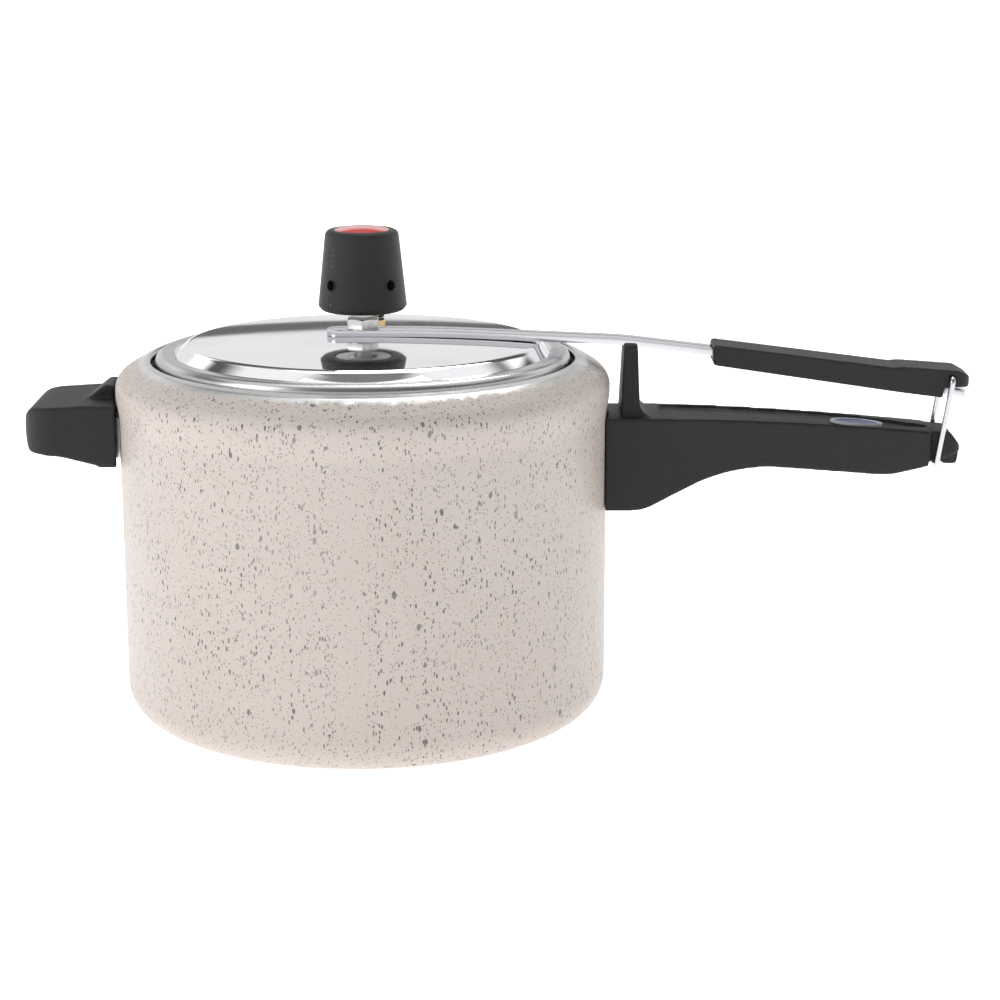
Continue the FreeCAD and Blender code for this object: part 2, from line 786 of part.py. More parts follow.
def screw(x, seat, tongue_height):
    """Pan-head screw from below, through its washer, up into the bracket's tongue."""
    top_of_head = seat - washer_thickness
    head = turned([
        (0, top_of_head - screw_head_height, 0),
        (screw_head_radius, top_of_head - screw_head_height, 1.2),
        (screw_head_radius, top_of_head, 0),
        (0, top_of_head, 0),
    ])
    head.translate(Vector(x, 0, 0))
    cross = box(x - 3, x + 3, -0.6, 0.6, 0, top_of_head - screw_head_height + 1.3)
    shank = upright(screw_radius, top_of_head - 0.1, tongue_height + tongue_thickness / 2 + 2.5, x)
    return head.cut(cross).fuse(shank).removeSplitter()


def screw_washer(x, seat):
    return flat_ring(screw_radius + fit_gap, washer_radius, seat - washer_thickness, seat, x)


def handle_badge():
    """Blank oval badge that lies on the groove's floor."""
    x = groove_start + 0.735 * (groove_end - groove_start)
    rise = handle_top(x - 11) - handle_top(x + 11)
    floor = handle_top(x) - groove_depth + 0.12
    ellipse = Part.Ellipse(Vector(0, 0, 0), 11.0, 5.6)
    badge = Part.Face(Part.Wire(ellipse.toShape())).extrude(Vector(0, 0, 1.1))
    badge.rotate(Vector(), Vector(0, 1, 0), math.degrees(math.atan(rise / 22)))
    badge.translate(Vector(x, 0, floor))
    return badge


def helper_handle():
    """Short handle: a rounded block with a raised step beside the pot and a lip below it."""
    inner = -80.0
    outline = [
        (inner, helper_boss_top, 0),
        (-root_radius - 3.5, helper_boss_top, 3.0),
        (-root_radius - 11.0, helper_top + 0.6, 8.0),
        (-helper_reach + 1.0, helper_top - 0.8, 6.5),
        (-helper_reach, helper_top - 12.0, 0),
        (-helper_reach + 1.8, helper_bottom + 5.6, 3.0),
        (-root_radius - 20, helper_bottom + 4.4, 20.0),
        (-root_radius - 5.5, helper_bottom + 0.8, 0.5),
        (-root_radius - 4.5, helper_bottom, 0.5),
        (inner, helper_bottom, 0),
    ]
    block = slab(outline, helper_half_width)
    plan = plan_prism([
        (-helper_reach, -helper_half_width, helper_corner),
        (inner, -helper_half_width, 0),
        (inner, helper_half_width, 0),
        (-helper_reach, helper_half_width, helper_corner),
    ], 0, far)
    block = block.common(plan)
    step = box(-far / 2, 0, -far / 2, far / 2, helper_top + 0.7, far)
    step = step.cut(box(-far / 2, 0, -helper_boss_half_width, helper_boss_half_width, 0, far))
    block = block.cut(step)
    block = block.cut(upright(root_radius, 0, far))
    block = block.cut(bracket_pocket(-1, helper_tongue_height, helper_tongue_length))
    return block.cut(handle_screw_cut(helper_screw_x, helper_screw_seat(), helper_tongue_height))


def tapped(shape, x, height):
    return shape.cut(upright(screw_radius + thread_gap, height - 10, height + 10, x))


def locking_loop():
    """Wire loop: crosspiece through the grip, two legs, and a foot bent in under each ledge."""
    bend = loop_bend_radius
    crossing = loop_half_width
    foot_end = loop_half_width - loop_foot_reach
    outline = [
        Vector(0, -foot_end, -loop_length),
        Vector(0, -crossing, -loop_length),
        Vector(0, -crossing, 0),
        Vector(0, crossing, 0),
        Vector(0, crossing, -loop_length),
        Vector(0, foot_end, -loop_length),
    ]
    edges = []
    start = outline[0]
    for before, corner, after in zip(outline, outline[1:], outline[2:]):
        to_before = (before - corner).normalize()
        to_after = (after - corner).normalize()
        arc_start = corner + to_before * bend
        arc_end = corner + to_after * bend
        middle = corner + (to_before + to_after).normalize() * (bend * (math.sqrt(2) - 1))
        edges.append(Part.makeLine(start, arc_start))
        edges.append(Part.Arc(arc_start, middle, arc_end).toShape())
        start = arc_end
    edges.append(Part.makeLine(start, outline[-1]))
    path = Part.Wire(edges)
    circle = Part.Circle(outline[0], Vector(0, 1, 0), wire_radius)
    wire = path.makePipeShell([Part.Wire(circle.toShape())], True, True)
    wire.rotate(Vector(), Vector(0, 1, 0), loop_lean_deg)
    wire.translate(Vector(loop_pivot_x, 0, loop_pivot_z))
    return wire


def steam_holes(radius):
    """Four level holes through the weight, at 45 degrees to the handle."""
    drills = []
    for k in range(4):
        angle = math.radians(45 + 90 * k)
        direction = Vector(math.cos(angle), math.sin(angle), 0)
        drills.append(along(direction, radius, Vector(0, 0, steam_hole_height), 30))
    return drills


def needle_seat():
    return tube_top + 1.2


def regulator_needle():
    """Pin with a conical tip in the vent tube's mouth and a collar that carries the weight."""
    seat = needle_seat()
    return turned([
        (0, tube_top - 1.8, 0),
        (0.4, tube_top - 1.8, 0),
        (2.4, seat, 0),
        (core_bore - 1.0, seat, 0),
        (core_bore - 1.0, seat + 1.0, 0),
        (needle_radius, seat + 1.0, 0),
        (needle_radius, seat + 6.3, 0.4),
        (0, seat + 6.3, 0),
    ])


def regulator_core():
    """Steel weight, bored for the vent tube below and for the needle above."""
    web = needle_seat() + 1.06
    stem_room = cap_stem_radius + 0.3
    core = turned([
        (core_bore, weight_bottom + 0.6, 0),
        (core_radius, weight_bottom + 0.6, 0.6),
        (core_radius, core_top, 0),
        (stem_room, core_top, 0),
        (stem_room, core_top - 3.6, 0),
        (needle_radius + needle_gap, core_top - 3.6, 0),
        (needle_radius + needle_gap, web, 0),
        (core_bore, web, 0),
    ])
    core = core.cut(upright(core_bore + 1.2, 0, weight_bottom + 2.4))
    return core.cut(steam_holes(steam_hole_radius - 0.3))


def regulator_clip():
    """Open spring ring in the core's mouth."""
    low = weight_bottom + 1.0
    ring = flat_ring(tube_radius + 0.5, core_bore + 1.1, low, low + 1.3)
    return ring.cut(box(0, far, -1.2, 1.2, 0, far))


def regulator_shell():
    """Moulded cover: tapered outside, open below for the core, recessed above for the cap."""
    inner = core_radius + 0.06
    inner_top = core_top + 0.02
    recess_radius = cap_radius + 0.15
    recess_floor = weight_top - cap_depth
    stem_hole = cap_stem_radius + 0.2
    shell = turned([
        (inner, weight_bottom, 0),
        (weight_bottom_radius - 1.6, weight_bottom, 1.6),
        (weight_bottom_radius, weight_bottom + 2.0, 0.5),
        (weight_top_radius, weight_top, weight_top_round),
        (recess_radius, weight_top, 0.4),
        (recess_radius, recess_floor, 0),
        (stem_hole, recess_floor, 0),
        (stem_hole, inner_top, 0),
        (inner, inner_top, 0),
    ])
    return shell.cut(steam_holes(steam_hole_radius))


def regulator_cap():
    """Domed cap with a stem that snaps into the weight."""
    base = weight_top - cap_depth
    stem_end = base - 4.0
    edge = weight_top - 0.1
    rise = cap_top - edge
    sphere_radius = (cap_radius ** 2 + rise ** 2) / (2 * rise)
    middle_x = cap_radius / 2
    middle_z = cap_top - sphere_radius + math.sqrt(sphere_radius ** 2 - middle_x ** 2)
    edges = [
        Part.Arc(Vector(0, 0, cap_top), Vector(middle_x, 0, middle_z),
                 Vector(cap_radius, 0, edge)).toShape(),
        Part.makeLine(Vector(cap_radius, 0, edge), Vector(cap_radius, 0, base)),
        Part.makeLine(Vector(cap_radius, 0, base), Vector(cap_stem_radius, 0, base)),
        Part.makeLine(Vector(cap_stem_radius, 0, base), Vector(cap_stem_radius, 0, stem_end)),
        Part.makeLine(Vector(cap_stem_radius, 0, stem_end), Vector(0, 0, stem_end)),
        Part.makeLine(Vector(0, 0, stem_end), Vector(0, 0, cap_top)),
    ]
    return Part.Face(Part.Wire(edges)).revolve(Vector(), Vector(0, 0, 1), 360)


def build():
    handle_seat = handle_screw_seat()
    helper_seat = helper_screw_seat()
    handle_tongue = bracket(1, handle_tongue_height, handle_tongue_length)
    helper_tongue = bracket(-1, helper_tongue_height, helper_tongue_length)
    return {
        "pot_body": pot_body(),
        "handle_bracket": tapped(handle_tongue, handle_screw_x, handle_tongue_height),
        "handle_bracket_rivets": rivets(1, handle_tongue_height),
        "body_handle": body_handle(),
        "body_handle_screw": screw(handle_screw_x, handle_seat, handle_tongue_height),
        "body_handle_washer": screw_washer(handle_screw_x, handle_seat),
        "handle_badge": handle_badge(),
        "helper_bracket": tapped(helper_tongue, helper_screw_x, helper_tongue_height),
        "helper_bracket_rivets": rivets(-1, helper_tongue_height),
        "helper_handle": helper_handle(),
        "helper_handle_screw": screw(helper_screw_x, helper_seat, helper_tongue_height),
        "helper_handle_washer": screw_washer(helper_screw_x, helper_seat),
        "lid_plate": lid_plate(),
        "lid_gasket": lid_gasket(),
        "lid_bar": lid_bar(),
        "lid_grip": lid_grip(),
        "grip_screws": grip_screws(),
        "vent_tube": vent_tube(),
        "vent_seal_washer": vent_seal_washer(),
        "bar_washer": bar_washer(),
        "vent_nut": vent_nut(),
        "safety_valve_body": safety_valve_body(),
        "safety_valve_plug": safety_valve_plug(),
        "safety_valve_seal": safety_valve_seal(),
        "safety_valve_nut": safety_valve_nut(),
        "locking_loop": locking_loop(),
        "regulator_needle": regulator_needle(),
        "regulator_core": regulator_core(),
        "regulator_clip": regulator_clip(),
        "regulator_shell": regulator_shell(),
        "regulator_cap": regulator_cap(),
    }


os.makedirs("parts", exist_ok=True)
for name, shape in build().items():
    shape.exportStep("parts/" + name + ".step")
    print(name, "solids", len(shape.Solids), "valid", shape.isValid(),
          "volume", round(shape.Volume, 1))
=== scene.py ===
import bpy
import json
import math
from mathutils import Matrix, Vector


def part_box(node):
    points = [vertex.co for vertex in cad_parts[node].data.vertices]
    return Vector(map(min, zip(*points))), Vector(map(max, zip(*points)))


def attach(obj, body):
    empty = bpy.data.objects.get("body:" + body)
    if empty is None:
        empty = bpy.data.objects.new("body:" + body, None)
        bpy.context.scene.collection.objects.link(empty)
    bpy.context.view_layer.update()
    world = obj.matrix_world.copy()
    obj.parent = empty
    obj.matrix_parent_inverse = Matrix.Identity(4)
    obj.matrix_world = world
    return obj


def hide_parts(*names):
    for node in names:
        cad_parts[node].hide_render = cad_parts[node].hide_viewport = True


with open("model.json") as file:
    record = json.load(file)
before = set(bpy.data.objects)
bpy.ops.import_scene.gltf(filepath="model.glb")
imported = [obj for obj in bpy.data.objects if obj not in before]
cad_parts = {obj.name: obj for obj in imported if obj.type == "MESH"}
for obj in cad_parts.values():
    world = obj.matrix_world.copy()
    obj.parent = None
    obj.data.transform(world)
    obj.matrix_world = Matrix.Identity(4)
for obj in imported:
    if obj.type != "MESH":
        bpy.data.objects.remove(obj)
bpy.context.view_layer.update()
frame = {"nodes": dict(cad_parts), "record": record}
nodes = frame["nodes"]
mm = 0.001
mergeDistance = {"newPiece": 0.01 * mm, "cadCopy": 0.005 * mm}
print("frame loaded:", len(nodes), "nodes")


# Small helpers for working in and out of edit mode

def selectOnly(piece):
    bpy.ops.object.select_all(action="DESELECT")
    piece.select_set(True)
    bpy.context.view_layer.objects.active = piece


def editAll(piece):
    selectOnly(piece)
    bpy.ops.object.mode_set(mode="EDIT")
    bpy.ops.mesh.select_all(action="SELECT")


def endEdit():
    bpy.ops.object.mode_set(mode="OBJECT")


def namePiece(name):
    piece = bpy.context.active_object
    piece.name = name
    piece.data.name = name
    return piece


def placeInMesh(piece):
    selectOnly(piece)
    bpy.ops.object.transform_apply(location=True, rotation=True, scale=True)


def smoothByAngle(piece, degrees):
    selectOnly(piece)
    bpy.ops.object.shade_smooth_by_angle(angle=math.radians(degrees))


def smoothAll(piece):
    selectOnly(piece)
    bpy.ops.object.shade_smooth()


def addModifier(piece, kind, **settings):
    modifier = piece.modifiers.new(kind.title(), kind)
    for key, value in settings.items():
        setattr(modifier, key, value)
    selectOnly(piece)
    bpy.ops.object.modifier_apply(modifier=modifier.name)


def outwardNormals(piece):
    editAll(piece)
    bpy.ops.mesh.remove_doubles(threshold=mergeDistance["newPiece"])
    bpy.ops.mesh.normals_make_consistent(inside=False)
    endEdit()


def copyOfNode(node, name):
    # a merged copy of a CAD node's mesh, to round and finish
    piece = nodes[node].copy()
    piece.data = nodes[node].data.copy()
    piece.parent = None
    for key in list(piece.keys()):
        del piece[key]
    piece.name = name
    piece.data.name = name
    bpy.context.scene.collection.objects.link(piece)
    piece.data.materials.clear()
    editAll(piece)
    bpy.ops.mesh.remove_doubles(threshold=mergeDistance["cadCopy"])
    endEdit()
    return piece


def reachAt(node, axis, low, high):
    # how far a node reaches along an axis between two heights
    return max(abs(v.co[axis]) for v in nodes[node].data.vertices if low <= v.co.z <= high)


arcSteps = {"least": 3, "most": 28}


def roundedCorners(corners, finest):
    # a line through (distance, height, radius) corners with its rounds drawn as arcs; each arc
    # has steps about as long as finest, within arcSteps
    line = []
    for index, (r, z, radius) in enumerate(corners):
        here = Vector((r, z))
        if radius == 0 or index in (0, len(corners) - 1):
            line.append(here)
            continue
        back = (Vector(corners[index - 1][:2]) - here).normalized()
        ahead = (Vector(corners[index + 1][:2]) - here).normalized()
        half = back.angle(ahead) / 2
        centre = here + (back + ahead).normalized() * (radius / math.sin(half))
        start = here + back * (radius / math.tan(half)) - centre
        sweep = math.pi - 2 * half
        turn = math.copysign(sweep, start.x * ahead.y - start.y * ahead.x)
        steps = max(arcSteps["least"], min(arcSteps["most"], int(radius * sweep / finest)))
        for step in range(steps + 1):
            angle = turn * step / steps
            line.append(centre + Vector((start.x * math.cos(angle) - start.y * math.sin(angle),
                                         start.x * math.sin(angle) + start.y * math.cos(angle))))
    return line


def latheLine(name, line, steps):
    # draws a profile one vertex at a time and spins it about the upright axis
    bpy.ops.object.select_all(action="DESELECT")
    bpy.ops.mesh.primitive_plane_add(size=mm, location=(0, 0, 0))
    piece = namePiece(name)
    editAll(piece)
    bpy.ops.mesh.merge(type="CENTER")
    bpy.ops.transform.translate(value=(line[0].x, 0, line[0].y))
    for here, after in zip(line, line[1:]):
        step = (after.x - here.x, 0, after.y - here.y)
        bpy.ops.mesh.extrude_region_move(TRANSFORM_OT_translate={"value": step})
    bpy.ops.mesh.select_all(action="SELECT")
    bpy.ops.mesh.spin(steps=steps, angle=2 * math.pi, center=(0, 0, 0), axis=(0, 0, 1))
    endEdit()
    outwardNormals(piece)
    return piece


def finishPiece(piece, body, slot, material, *replaced):
    piece.data.materials.clear()
    piece.data.materials.append(material)
    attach(piece, body)
    if replaced:
        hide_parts(*replaced)


# Sizes that the pot, the lid and their finishes share, taken from the frame

skirtBand = 3 * mm                                  # height below the rim where the skirt is measured
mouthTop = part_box("pot_body")[1].z
lidLow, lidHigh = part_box("lid_plate")
ovalRatio = lidHigh.y / lidHigh.x
skirtHalf = reachAt("lid_plate", 0, mouthTop - skirtBand, mouthTop)

# Shader node groups shared by the materials

def newGroup(name, inputs, outputs):
    group = bpy.data.node_groups.new(name, "ShaderNodeTree")
    for label, kind, value in inputs:
        socket = group.interface.new_socket(name=label, in_out="INPUT", socket_type=kind)
        if value is not None:
            socket.default_value = value
    for label, kind in outputs:
        group.interface.new_socket(name=label, in_out="OUTPUT", socket_type=kind)
    return group, group.nodes.new("NodeGroupInput"), group.nodes.new("NodeGroupOutput")


def addNode(tree, kind, values=None, **settings):
    node = tree.nodes.new(kind)
    for key, value in settings.items():
        setattr(node, key, value)
    for key, value in (values or {}).items():
        node.inputs[key].default_value = value
    return node


def calc(tree, operation, first, second=None, third=None, clamp=False):
    node = tree.nodes.new("ShaderNodeMath")
    node.operation = operation
    node.use_clamp = clamp
    for index, source in enumerate((first, second, third)):
        if source is None:
            continue
        if isinstance(source, (int, float)):
            node.inputs[index].default_value = source
        else:
            tree.links.new(source, node.inputs[index])
    return node.outputs[0]


def ramp(tree, source, low, high, outLow=0.0, outHigh=1.0, smooth=True):
    node = tree.nodes.new("ShaderNodeMapRange")
    node.interpolation_type = "SMOOTHSTEP" if smooth else "LINEAR"
    tree.links.new(source, node.inputs["Value"])
    for label, value in (("From Min", low), ("From Max", high), ("To Min", outLow), ("To Max", outHigh)):
        if isinstance(value, (int, float)):
            node.inputs[label].default_value = value
        else:
            tree.links.new(value, node.inputs[label])
    return node.outputs["Result"]


def blendColour(tree, factor, first, second):
    node = tree.nodes.new("ShaderNodeMix")
    node.data_type = "RGBA"
    for socket, source in ((node.inputs[0], factor), (node.inputs[6], first), (node.inputs[7], second)):
        if isinstance(source, (int, float)):
            socket.default_value = source
        elif isinstance(source, tuple):
            socket.default_value = source
        else:
            tree.links.new(source, socket)
    return node.outputs[2]


def noise(tree, vector, scale, detail=3.0, roughness=0.55):
    node = addNode(tree, "ShaderNodeTexNoise",
                   {"Scale": scale, "Detail": detail, "Roughness": roughness})
    tree.links.new(vector, node.inputs["Vector"])
    return node


def stretched(tree, vector, scale):
    node = addNode(tree, "ShaderNodeMapping", {"Scale": scale})
    tree.links.new(vector, node.inputs["Vector"])
    return node.outputs["Vector"]


def speckleGroup():
    # irregular paint flecks of one size, longer upright than across
    group, inlet, outlet = newGroup(
        "paintFlecks",
        [("Vector", "NodeSocketVector", None), ("Scale", "NodeSocketFloat", 600.0),
         ("Amount", "NodeSocketFloat", 0.35), ("Ragged", "NodeSocketFloat", 0.0006)],
        [("Mask", "NodeSocketFloat"), ("Tone", "NodeSocketFloat")])
    links = group.links
    wobble = noise(group, inlet.outputs["Vector"], 900.0, 2.0)
    centred = addNode(group, "ShaderNodeVectorMath", operation="SUBTRACT")
    links.new(wobble.outputs["Color"], centred.inputs[0])
    centred.inputs[1].default_value = (0.5, 0.5, 0.5)
    push = addNode(group, "ShaderNodeVectorMath", operation="SCALE")
    links.new(centred.outputs[0], push.inputs[0])
    links.new(inlet.outputs["Ragged"], push.inputs["Scale"])
    moved = addNode(group, "ShaderNodeVectorMath", operation="ADD")
    links.new(inlet.outputs["Vector"], moved.inputs[0])
    links.new(push.outputs[0], moved.inputs[1])
    squeezed = stretched(group, moved.outputs[0], (1.0, 1.0, 0.55))
    cells = addNode(group, "ShaderNodeTexVoronoi", {"Randomness": 1.0})
    links.new(squeezed, cells.inputs["Vector"])
    links.new(inlet.outputs["Scale"], cells.inputs["Scale"])
    split = addNode(group, "ShaderNodeSeparateColor")
    links.new(cells.outputs["Color"], split.inputs[0])
    bare = calc(group, "SUBTRACT", 1.0, inlet.outputs["Amount"])
    chosen = ramp(group, split.outputs[0], bare, calc(group, "ADD", bare, 0.1))
    size = calc(group, "MULTIPLY", calc(group, "MULTIPLY_ADD", split.outputs[1], 0.30, 0.14), chosen)
    edge = calc(group, "SUBTRACT", size, cells.outputs["Distance"])
    links.new(ramp(group, edge, 0.0, 0.07), outlet.inputs["Mask"])
    links.new(split.outputs[2], outlet.inputs["Tone"])
    return group


def grainGroup():
    # fine pebbled skin of a moulded part, with tiny painted highlights (glints) on its pebbles
    group, inlet, outlet = newGroup(
        "mouldedGrain",
        [("Vector", "NodeSocketVector", None), ("Scale", "NodeSocketFloat", 1500.0)],
        [("Height", "NodeSocketFloat"), ("Variation", "NodeSocketFloat"),
         ("PaintedGlint", "NodeSocketFloat")])
    links = group.links
    pebble = addNode(group, "ShaderNodeTexVoronoi", {"Randomness": 1.0}, feature="SMOOTH_F1")
    pebble.inputs["Smoothness"].default_value = 0.6
    links.new(inlet.outputs["Vector"], pebble.inputs["Vector"])
    links.new(inlet.outputs["Scale"], pebble.inputs["Scale"])
    fine = noise(group, inlet.outputs["Vector"], 2600.0, 3.0, 0.6)
    height = calc(group, "MULTIPLY_ADD", pebble.outputs["Distance"], 0.7, fine.outputs["Fac"])
    links.new(height, outlet.inputs["Height"])
    broad = noise(group, inlet.outputs["Vector"], 45.0, 4.0)
    links.new(broad.outputs["Fac"], outlet.inputs["Variation"])
    # painted highlight: tiny bright specks stand in for light glinting off the pebbles
    paintedSparkle = noise(group, inlet.outputs["Vector"], 3400.0, 1.0)
    links.new(ramp(group, paintedSparkle.outputs["Fac"], 0.66, 0.78), outlet.inputs["PaintedGlint"])
    return group


def edgeGroup():
    # lighter, rubbed corners
    group, inlet, outlet = newGroup(
        "rubbedEdges",
        [("Vector", "NodeSocketVector", None), ("Start", "NodeSocketFloat", 0.53),
         ("End", "NodeSocketFloat", 0.62)],
        [("Mask", "NodeSocketFloat")])
    shape = addNode(group, "ShaderNodeNewGeometry")
    broken = noise(group, inlet.outputs["Vector"], 420.0, 4.0, 0.65)
    uneven = calc(group, "MULTIPLY_ADD", broken.outputs["Fac"], 0.05, shape.outputs["Pointiness"])
    shifted = calc(group, "SUBTRACT", uneven, 0.025)
    mask = ramp(group, shifted, inlet.outputs["Start"], inlet.outputs["End"])
    group.links.new(mask, outlet.inputs["Mask"])
    return group


def brushedGroup():
    # fine lines that run round or out from the upright axis
    group, inlet, outlet = newGroup(
        "turnedLines",
        [("Vector", "NodeSocketVector", None), ("Around", "NodeSocketFloat", 2.0),
         ("Across", "NodeSocketFloat", 1800.0)],
        [("Lines", "NodeSocketFloat"), ("Bands", "NodeSocketFloat")])
    links = group.links
    split = addNode(group, "ShaderNodeSeparateXYZ")
    links.new(inlet.outputs["Vector"], split.inputs[0])
    angle = calc(group, "ARCTAN2", split.outputs[1], split.outputs[0])
    square = calc(group, "ADD", calc(group, "MULTIPLY", split.outputs[0], split.outputs[0]),
                  calc(group, "MULTIPLY", split.outputs[1], split.outputs[1]))
    radius = calc(group, "SQRT", square)
    join = addNode(group, "ShaderNodeCombineXYZ")
    links.new(calc(group, "MULTIPLY", angle, inlet.outputs["Around"]), join.inputs[0])
    links.new(calc(group, "MULTIPLY", radius, inlet.outputs["Across"]), join.inputs[1])
    links.new(calc(group, "MULTIPLY", split.outputs[2], inlet.outputs["Across"]), join.inputs[2])
    fine = noise(group, join.outputs[0], 1.0, 3.0, 0.6)
    links.new(fine.outputs["Fac"], outlet.inputs["Lines"])
    broad = noise(group, join.outputs[0], 0.18, 2.0)
    links.new(broad.outputs["Fac"], outlet.inputs["Bands"])
    return group


def filmGroup():
    # faint smears and dust that dull a gloss
    group, inlet, outlet = newGroup(
        "faintFilm",
        [("Vector", "NodeSocketVector", None), ("Scale", "NodeSocketFloat", 22.0)],
        [("Smear", "NodeSocketFloat"), ("Dust", "NodeSocketFloat")])
    links = group.links
    smear = noise(group, inlet.outputs["Vector"], 1.0, 5.0, 0.6)
    links.new(inlet.outputs["Scale"], smear.inputs["Scale"])
    links.new(ramp(group, smear.outputs["Fac"], 0.42, 0.72), outlet.inputs["Smear"])
    dust = noise(group, inlet.outputs["Vector"], 1900.0, 2.0, 0.5)
    links.new(ramp(group, dust.outputs["Fac"], 0.68, 0.78), outlet.inputs["Dust"])
    return group


groups = {
    "flecks": speckleGroup(),
    "grain": grainGroup(),
    "edges": edgeGroup(),
    "lines": brushedGroup(),
    "film": filmGroup(),
}
print("shader groups made:", len(groups))


def newMaterial(name, **sockets):
    material = bpy.data.materials.new(name)
    material.use_nodes = True
    tree = material.node_tree
    shader = tree.nodes["Principled BSDF"]
    for key, value in sockets.items():
        shader.inputs[key.replace("_", " ")].default_value = value
    place = tree.nodes.new("ShaderNodeTexCoord").outputs["Object"]
    return material, tree, shader, place


def useGroup(tree, name, vector, **values):
    node = tree.nodes.new("ShaderNodeGroup")
    node.node_tree = groups[name]
    tree.links.new(vector, node.inputs["Vector"])
    for key, value in values.items():
        if isinstance(value, (int, float)):
            node.inputs[key].default_value = value
        else:
            tree.links.new(value, node.inputs[key])
    return node.outputs


def bump(tree, shader, height, strength, distance):
    node = addNode(tree, "ShaderNodeBump", {"Strength": strength, "Distance": distance})
    tree.links.new(height, node.inputs["Height"])
    tree.links.new(node.outputs[0], shader.inputs["Normal"])


paintLook = {
    "ground": (0.62, 0.56, 0.52, 1),
    "groundWarm": (0.56, 0.495, 0.45, 1),
    "fleck": (0.13, 0.115, 0.115, 1),
    "fleckSoft": (0.26, 0.225, 0.21, 1),
    "bareMetal": (0.78, 0.79, 0.78, 1),
    "bareMetalDark": (0.62, 0.62, 0.61, 1),
    "bigFlecks": {"Scale": 430.0, "Amount": 0.15, "Ragged": 0.0011},
    "smallFlecks": {"Scale": 680.0, "Amount": 0.56, "Ragged": 0.0007},
    "dotFlecks": {"Scale": 1150.0, "Amount": 0.60, "Ragged": 0.0004},
    "smallStretch": (1.3, 1.3, 1.0),
    "dotStretch": (1.0, 1.0, 1.5),
    "streakStretch": (1.0, 1.0, 0.35),
    "streakDepth": 4 * mm,
    "bareFrom": -0.6 * mm,       # from the top of the rim
    "bareTo": 1.5 * mm,
}


def stonePaint():
    material, tree, shader, place = newMaterial("stonePaint", Coat_Roughness=0.25,
                                               Specular_IOR_Level=0.3)
    link = tree.links.new
    split = addNode(tree, "ShaderNodeSeparateXYZ")
    link(place, split.inputs[0])
    big = useGroup(tree, "flecks", place, **paintLook["bigFlecks"])
    small = useGroup(tree, "flecks", stretched(tree, place, paintLook["smallStretch"]),
                     **paintLook["smallFlecks"])
    dots = useGroup(tree, "flecks", stretched(tree, place, paintLook["dotStretch"]),
                    **paintLook["dotFlecks"])
    crowd = noise(tree, place, 26.0, 3.0)
    crowding = ramp(tree, crowd.outputs["Fac"], 0.36, 0.62, 0.55, 1.0)
    drift = noise(tree, place, 9.0, 4.0)
    ground = blendColour(tree, drift.outputs["Fac"], paintLook["ground"], paintLook["groundWarm"])
    softened = blendColour(tree, calc(tree, "MULTIPLY", dots["Mask"], 0.8), ground,
                           paintLook["fleckSoft"])
    fleckTone = blendColour(tree, small["Tone"], paintLook["fleck"], paintLook["fleckSoft"])
    both = calc(tree, "MAXIMUM", big["Mask"], small["Mask"])
    fleckMask = calc(tree, "MULTIPLY", both, crowding)
    painted = blendColour(tree, fleckMask, softened, fleckTone)

    # the paint thins out in streaks below the rim, and the rim itself is bare brushed metal
    lines = useGroup(tree, "lines", place, Around=60.0, Across=40.0)
    streak = noise(tree, stretched(tree, place, paintLook["streakStretch"]), 260.0, 4.0, 0.65)
    ragged = calc(tree, "MULTIPLY_ADD", streak.outputs["Fac"], paintLook["streakDepth"],
                  split.outputs[2])
    bare = ramp(tree, ragged, mouthTop + paintLook["bareFrom"], mouthTop + paintLook["bareTo"])
    metal = blendColour(tree, lines["Lines"], paintLook["bareMetal"], paintLook["bareMetalDark"])
    link(blendColour(tree, bare, painted, metal), shader.inputs["Base Color"])
    link(bare, shader.inputs["Metallic"])
    film = useGroup(tree, "film", place)
    satin = calc(tree, "MULTIPLY_ADD", film["Smear"], 0.06, 0.44)
    brushed = calc(tree, "MULTIPLY_ADD", lines["Lines"], 0.16, 0.24)
    mixRough = calc(tree, "ADD", calc(tree, "MULTIPLY", brushed, bare),
                    calc(tree, "MULTIPLY", satin, calc(tree, "SUBTRACT", 1.0, bare)))
    link(mixRough, shader.inputs["Roughness"])
    link(calc(tree, "MULTIPLY", calc(tree, "SUBTRACT", 1.0, bare), 0.10), shader.inputs["Coat Weight"])
    orange = noise(tree, place, 700.0, 2.0)
    raised = calc(tree, "MULTIPLY_ADD", fleckMask, 0.35, orange.outputs["Fac"])
    grooves = calc(tree, "MULTIPLY", lines["Lines"], bare)
    bump(tree, shader, calc(tree, "ADD", raised, grooves), 0.12, 0.0002)
    return material


polishLook = {
    "lid": (0.90, 0.90, 0.92, 1),
    "bar": (0.60, 0.60, 0.63, 1),
    # the satin band's colours are darker than the polished lid: painted shade standing in for the dark
    # surroundings the band reflects
    "satinShadedLight": (0.70, 0.71, 0.72, 1),
    "satinShadedDark": (0.44, 0.44, 0.45, 1),
    "satinBand": 9 * mm,         # width of the brushed band inside the edge of the lid, whose colour is darkened as painted shade
    "satinFade": 2 * mm,
}


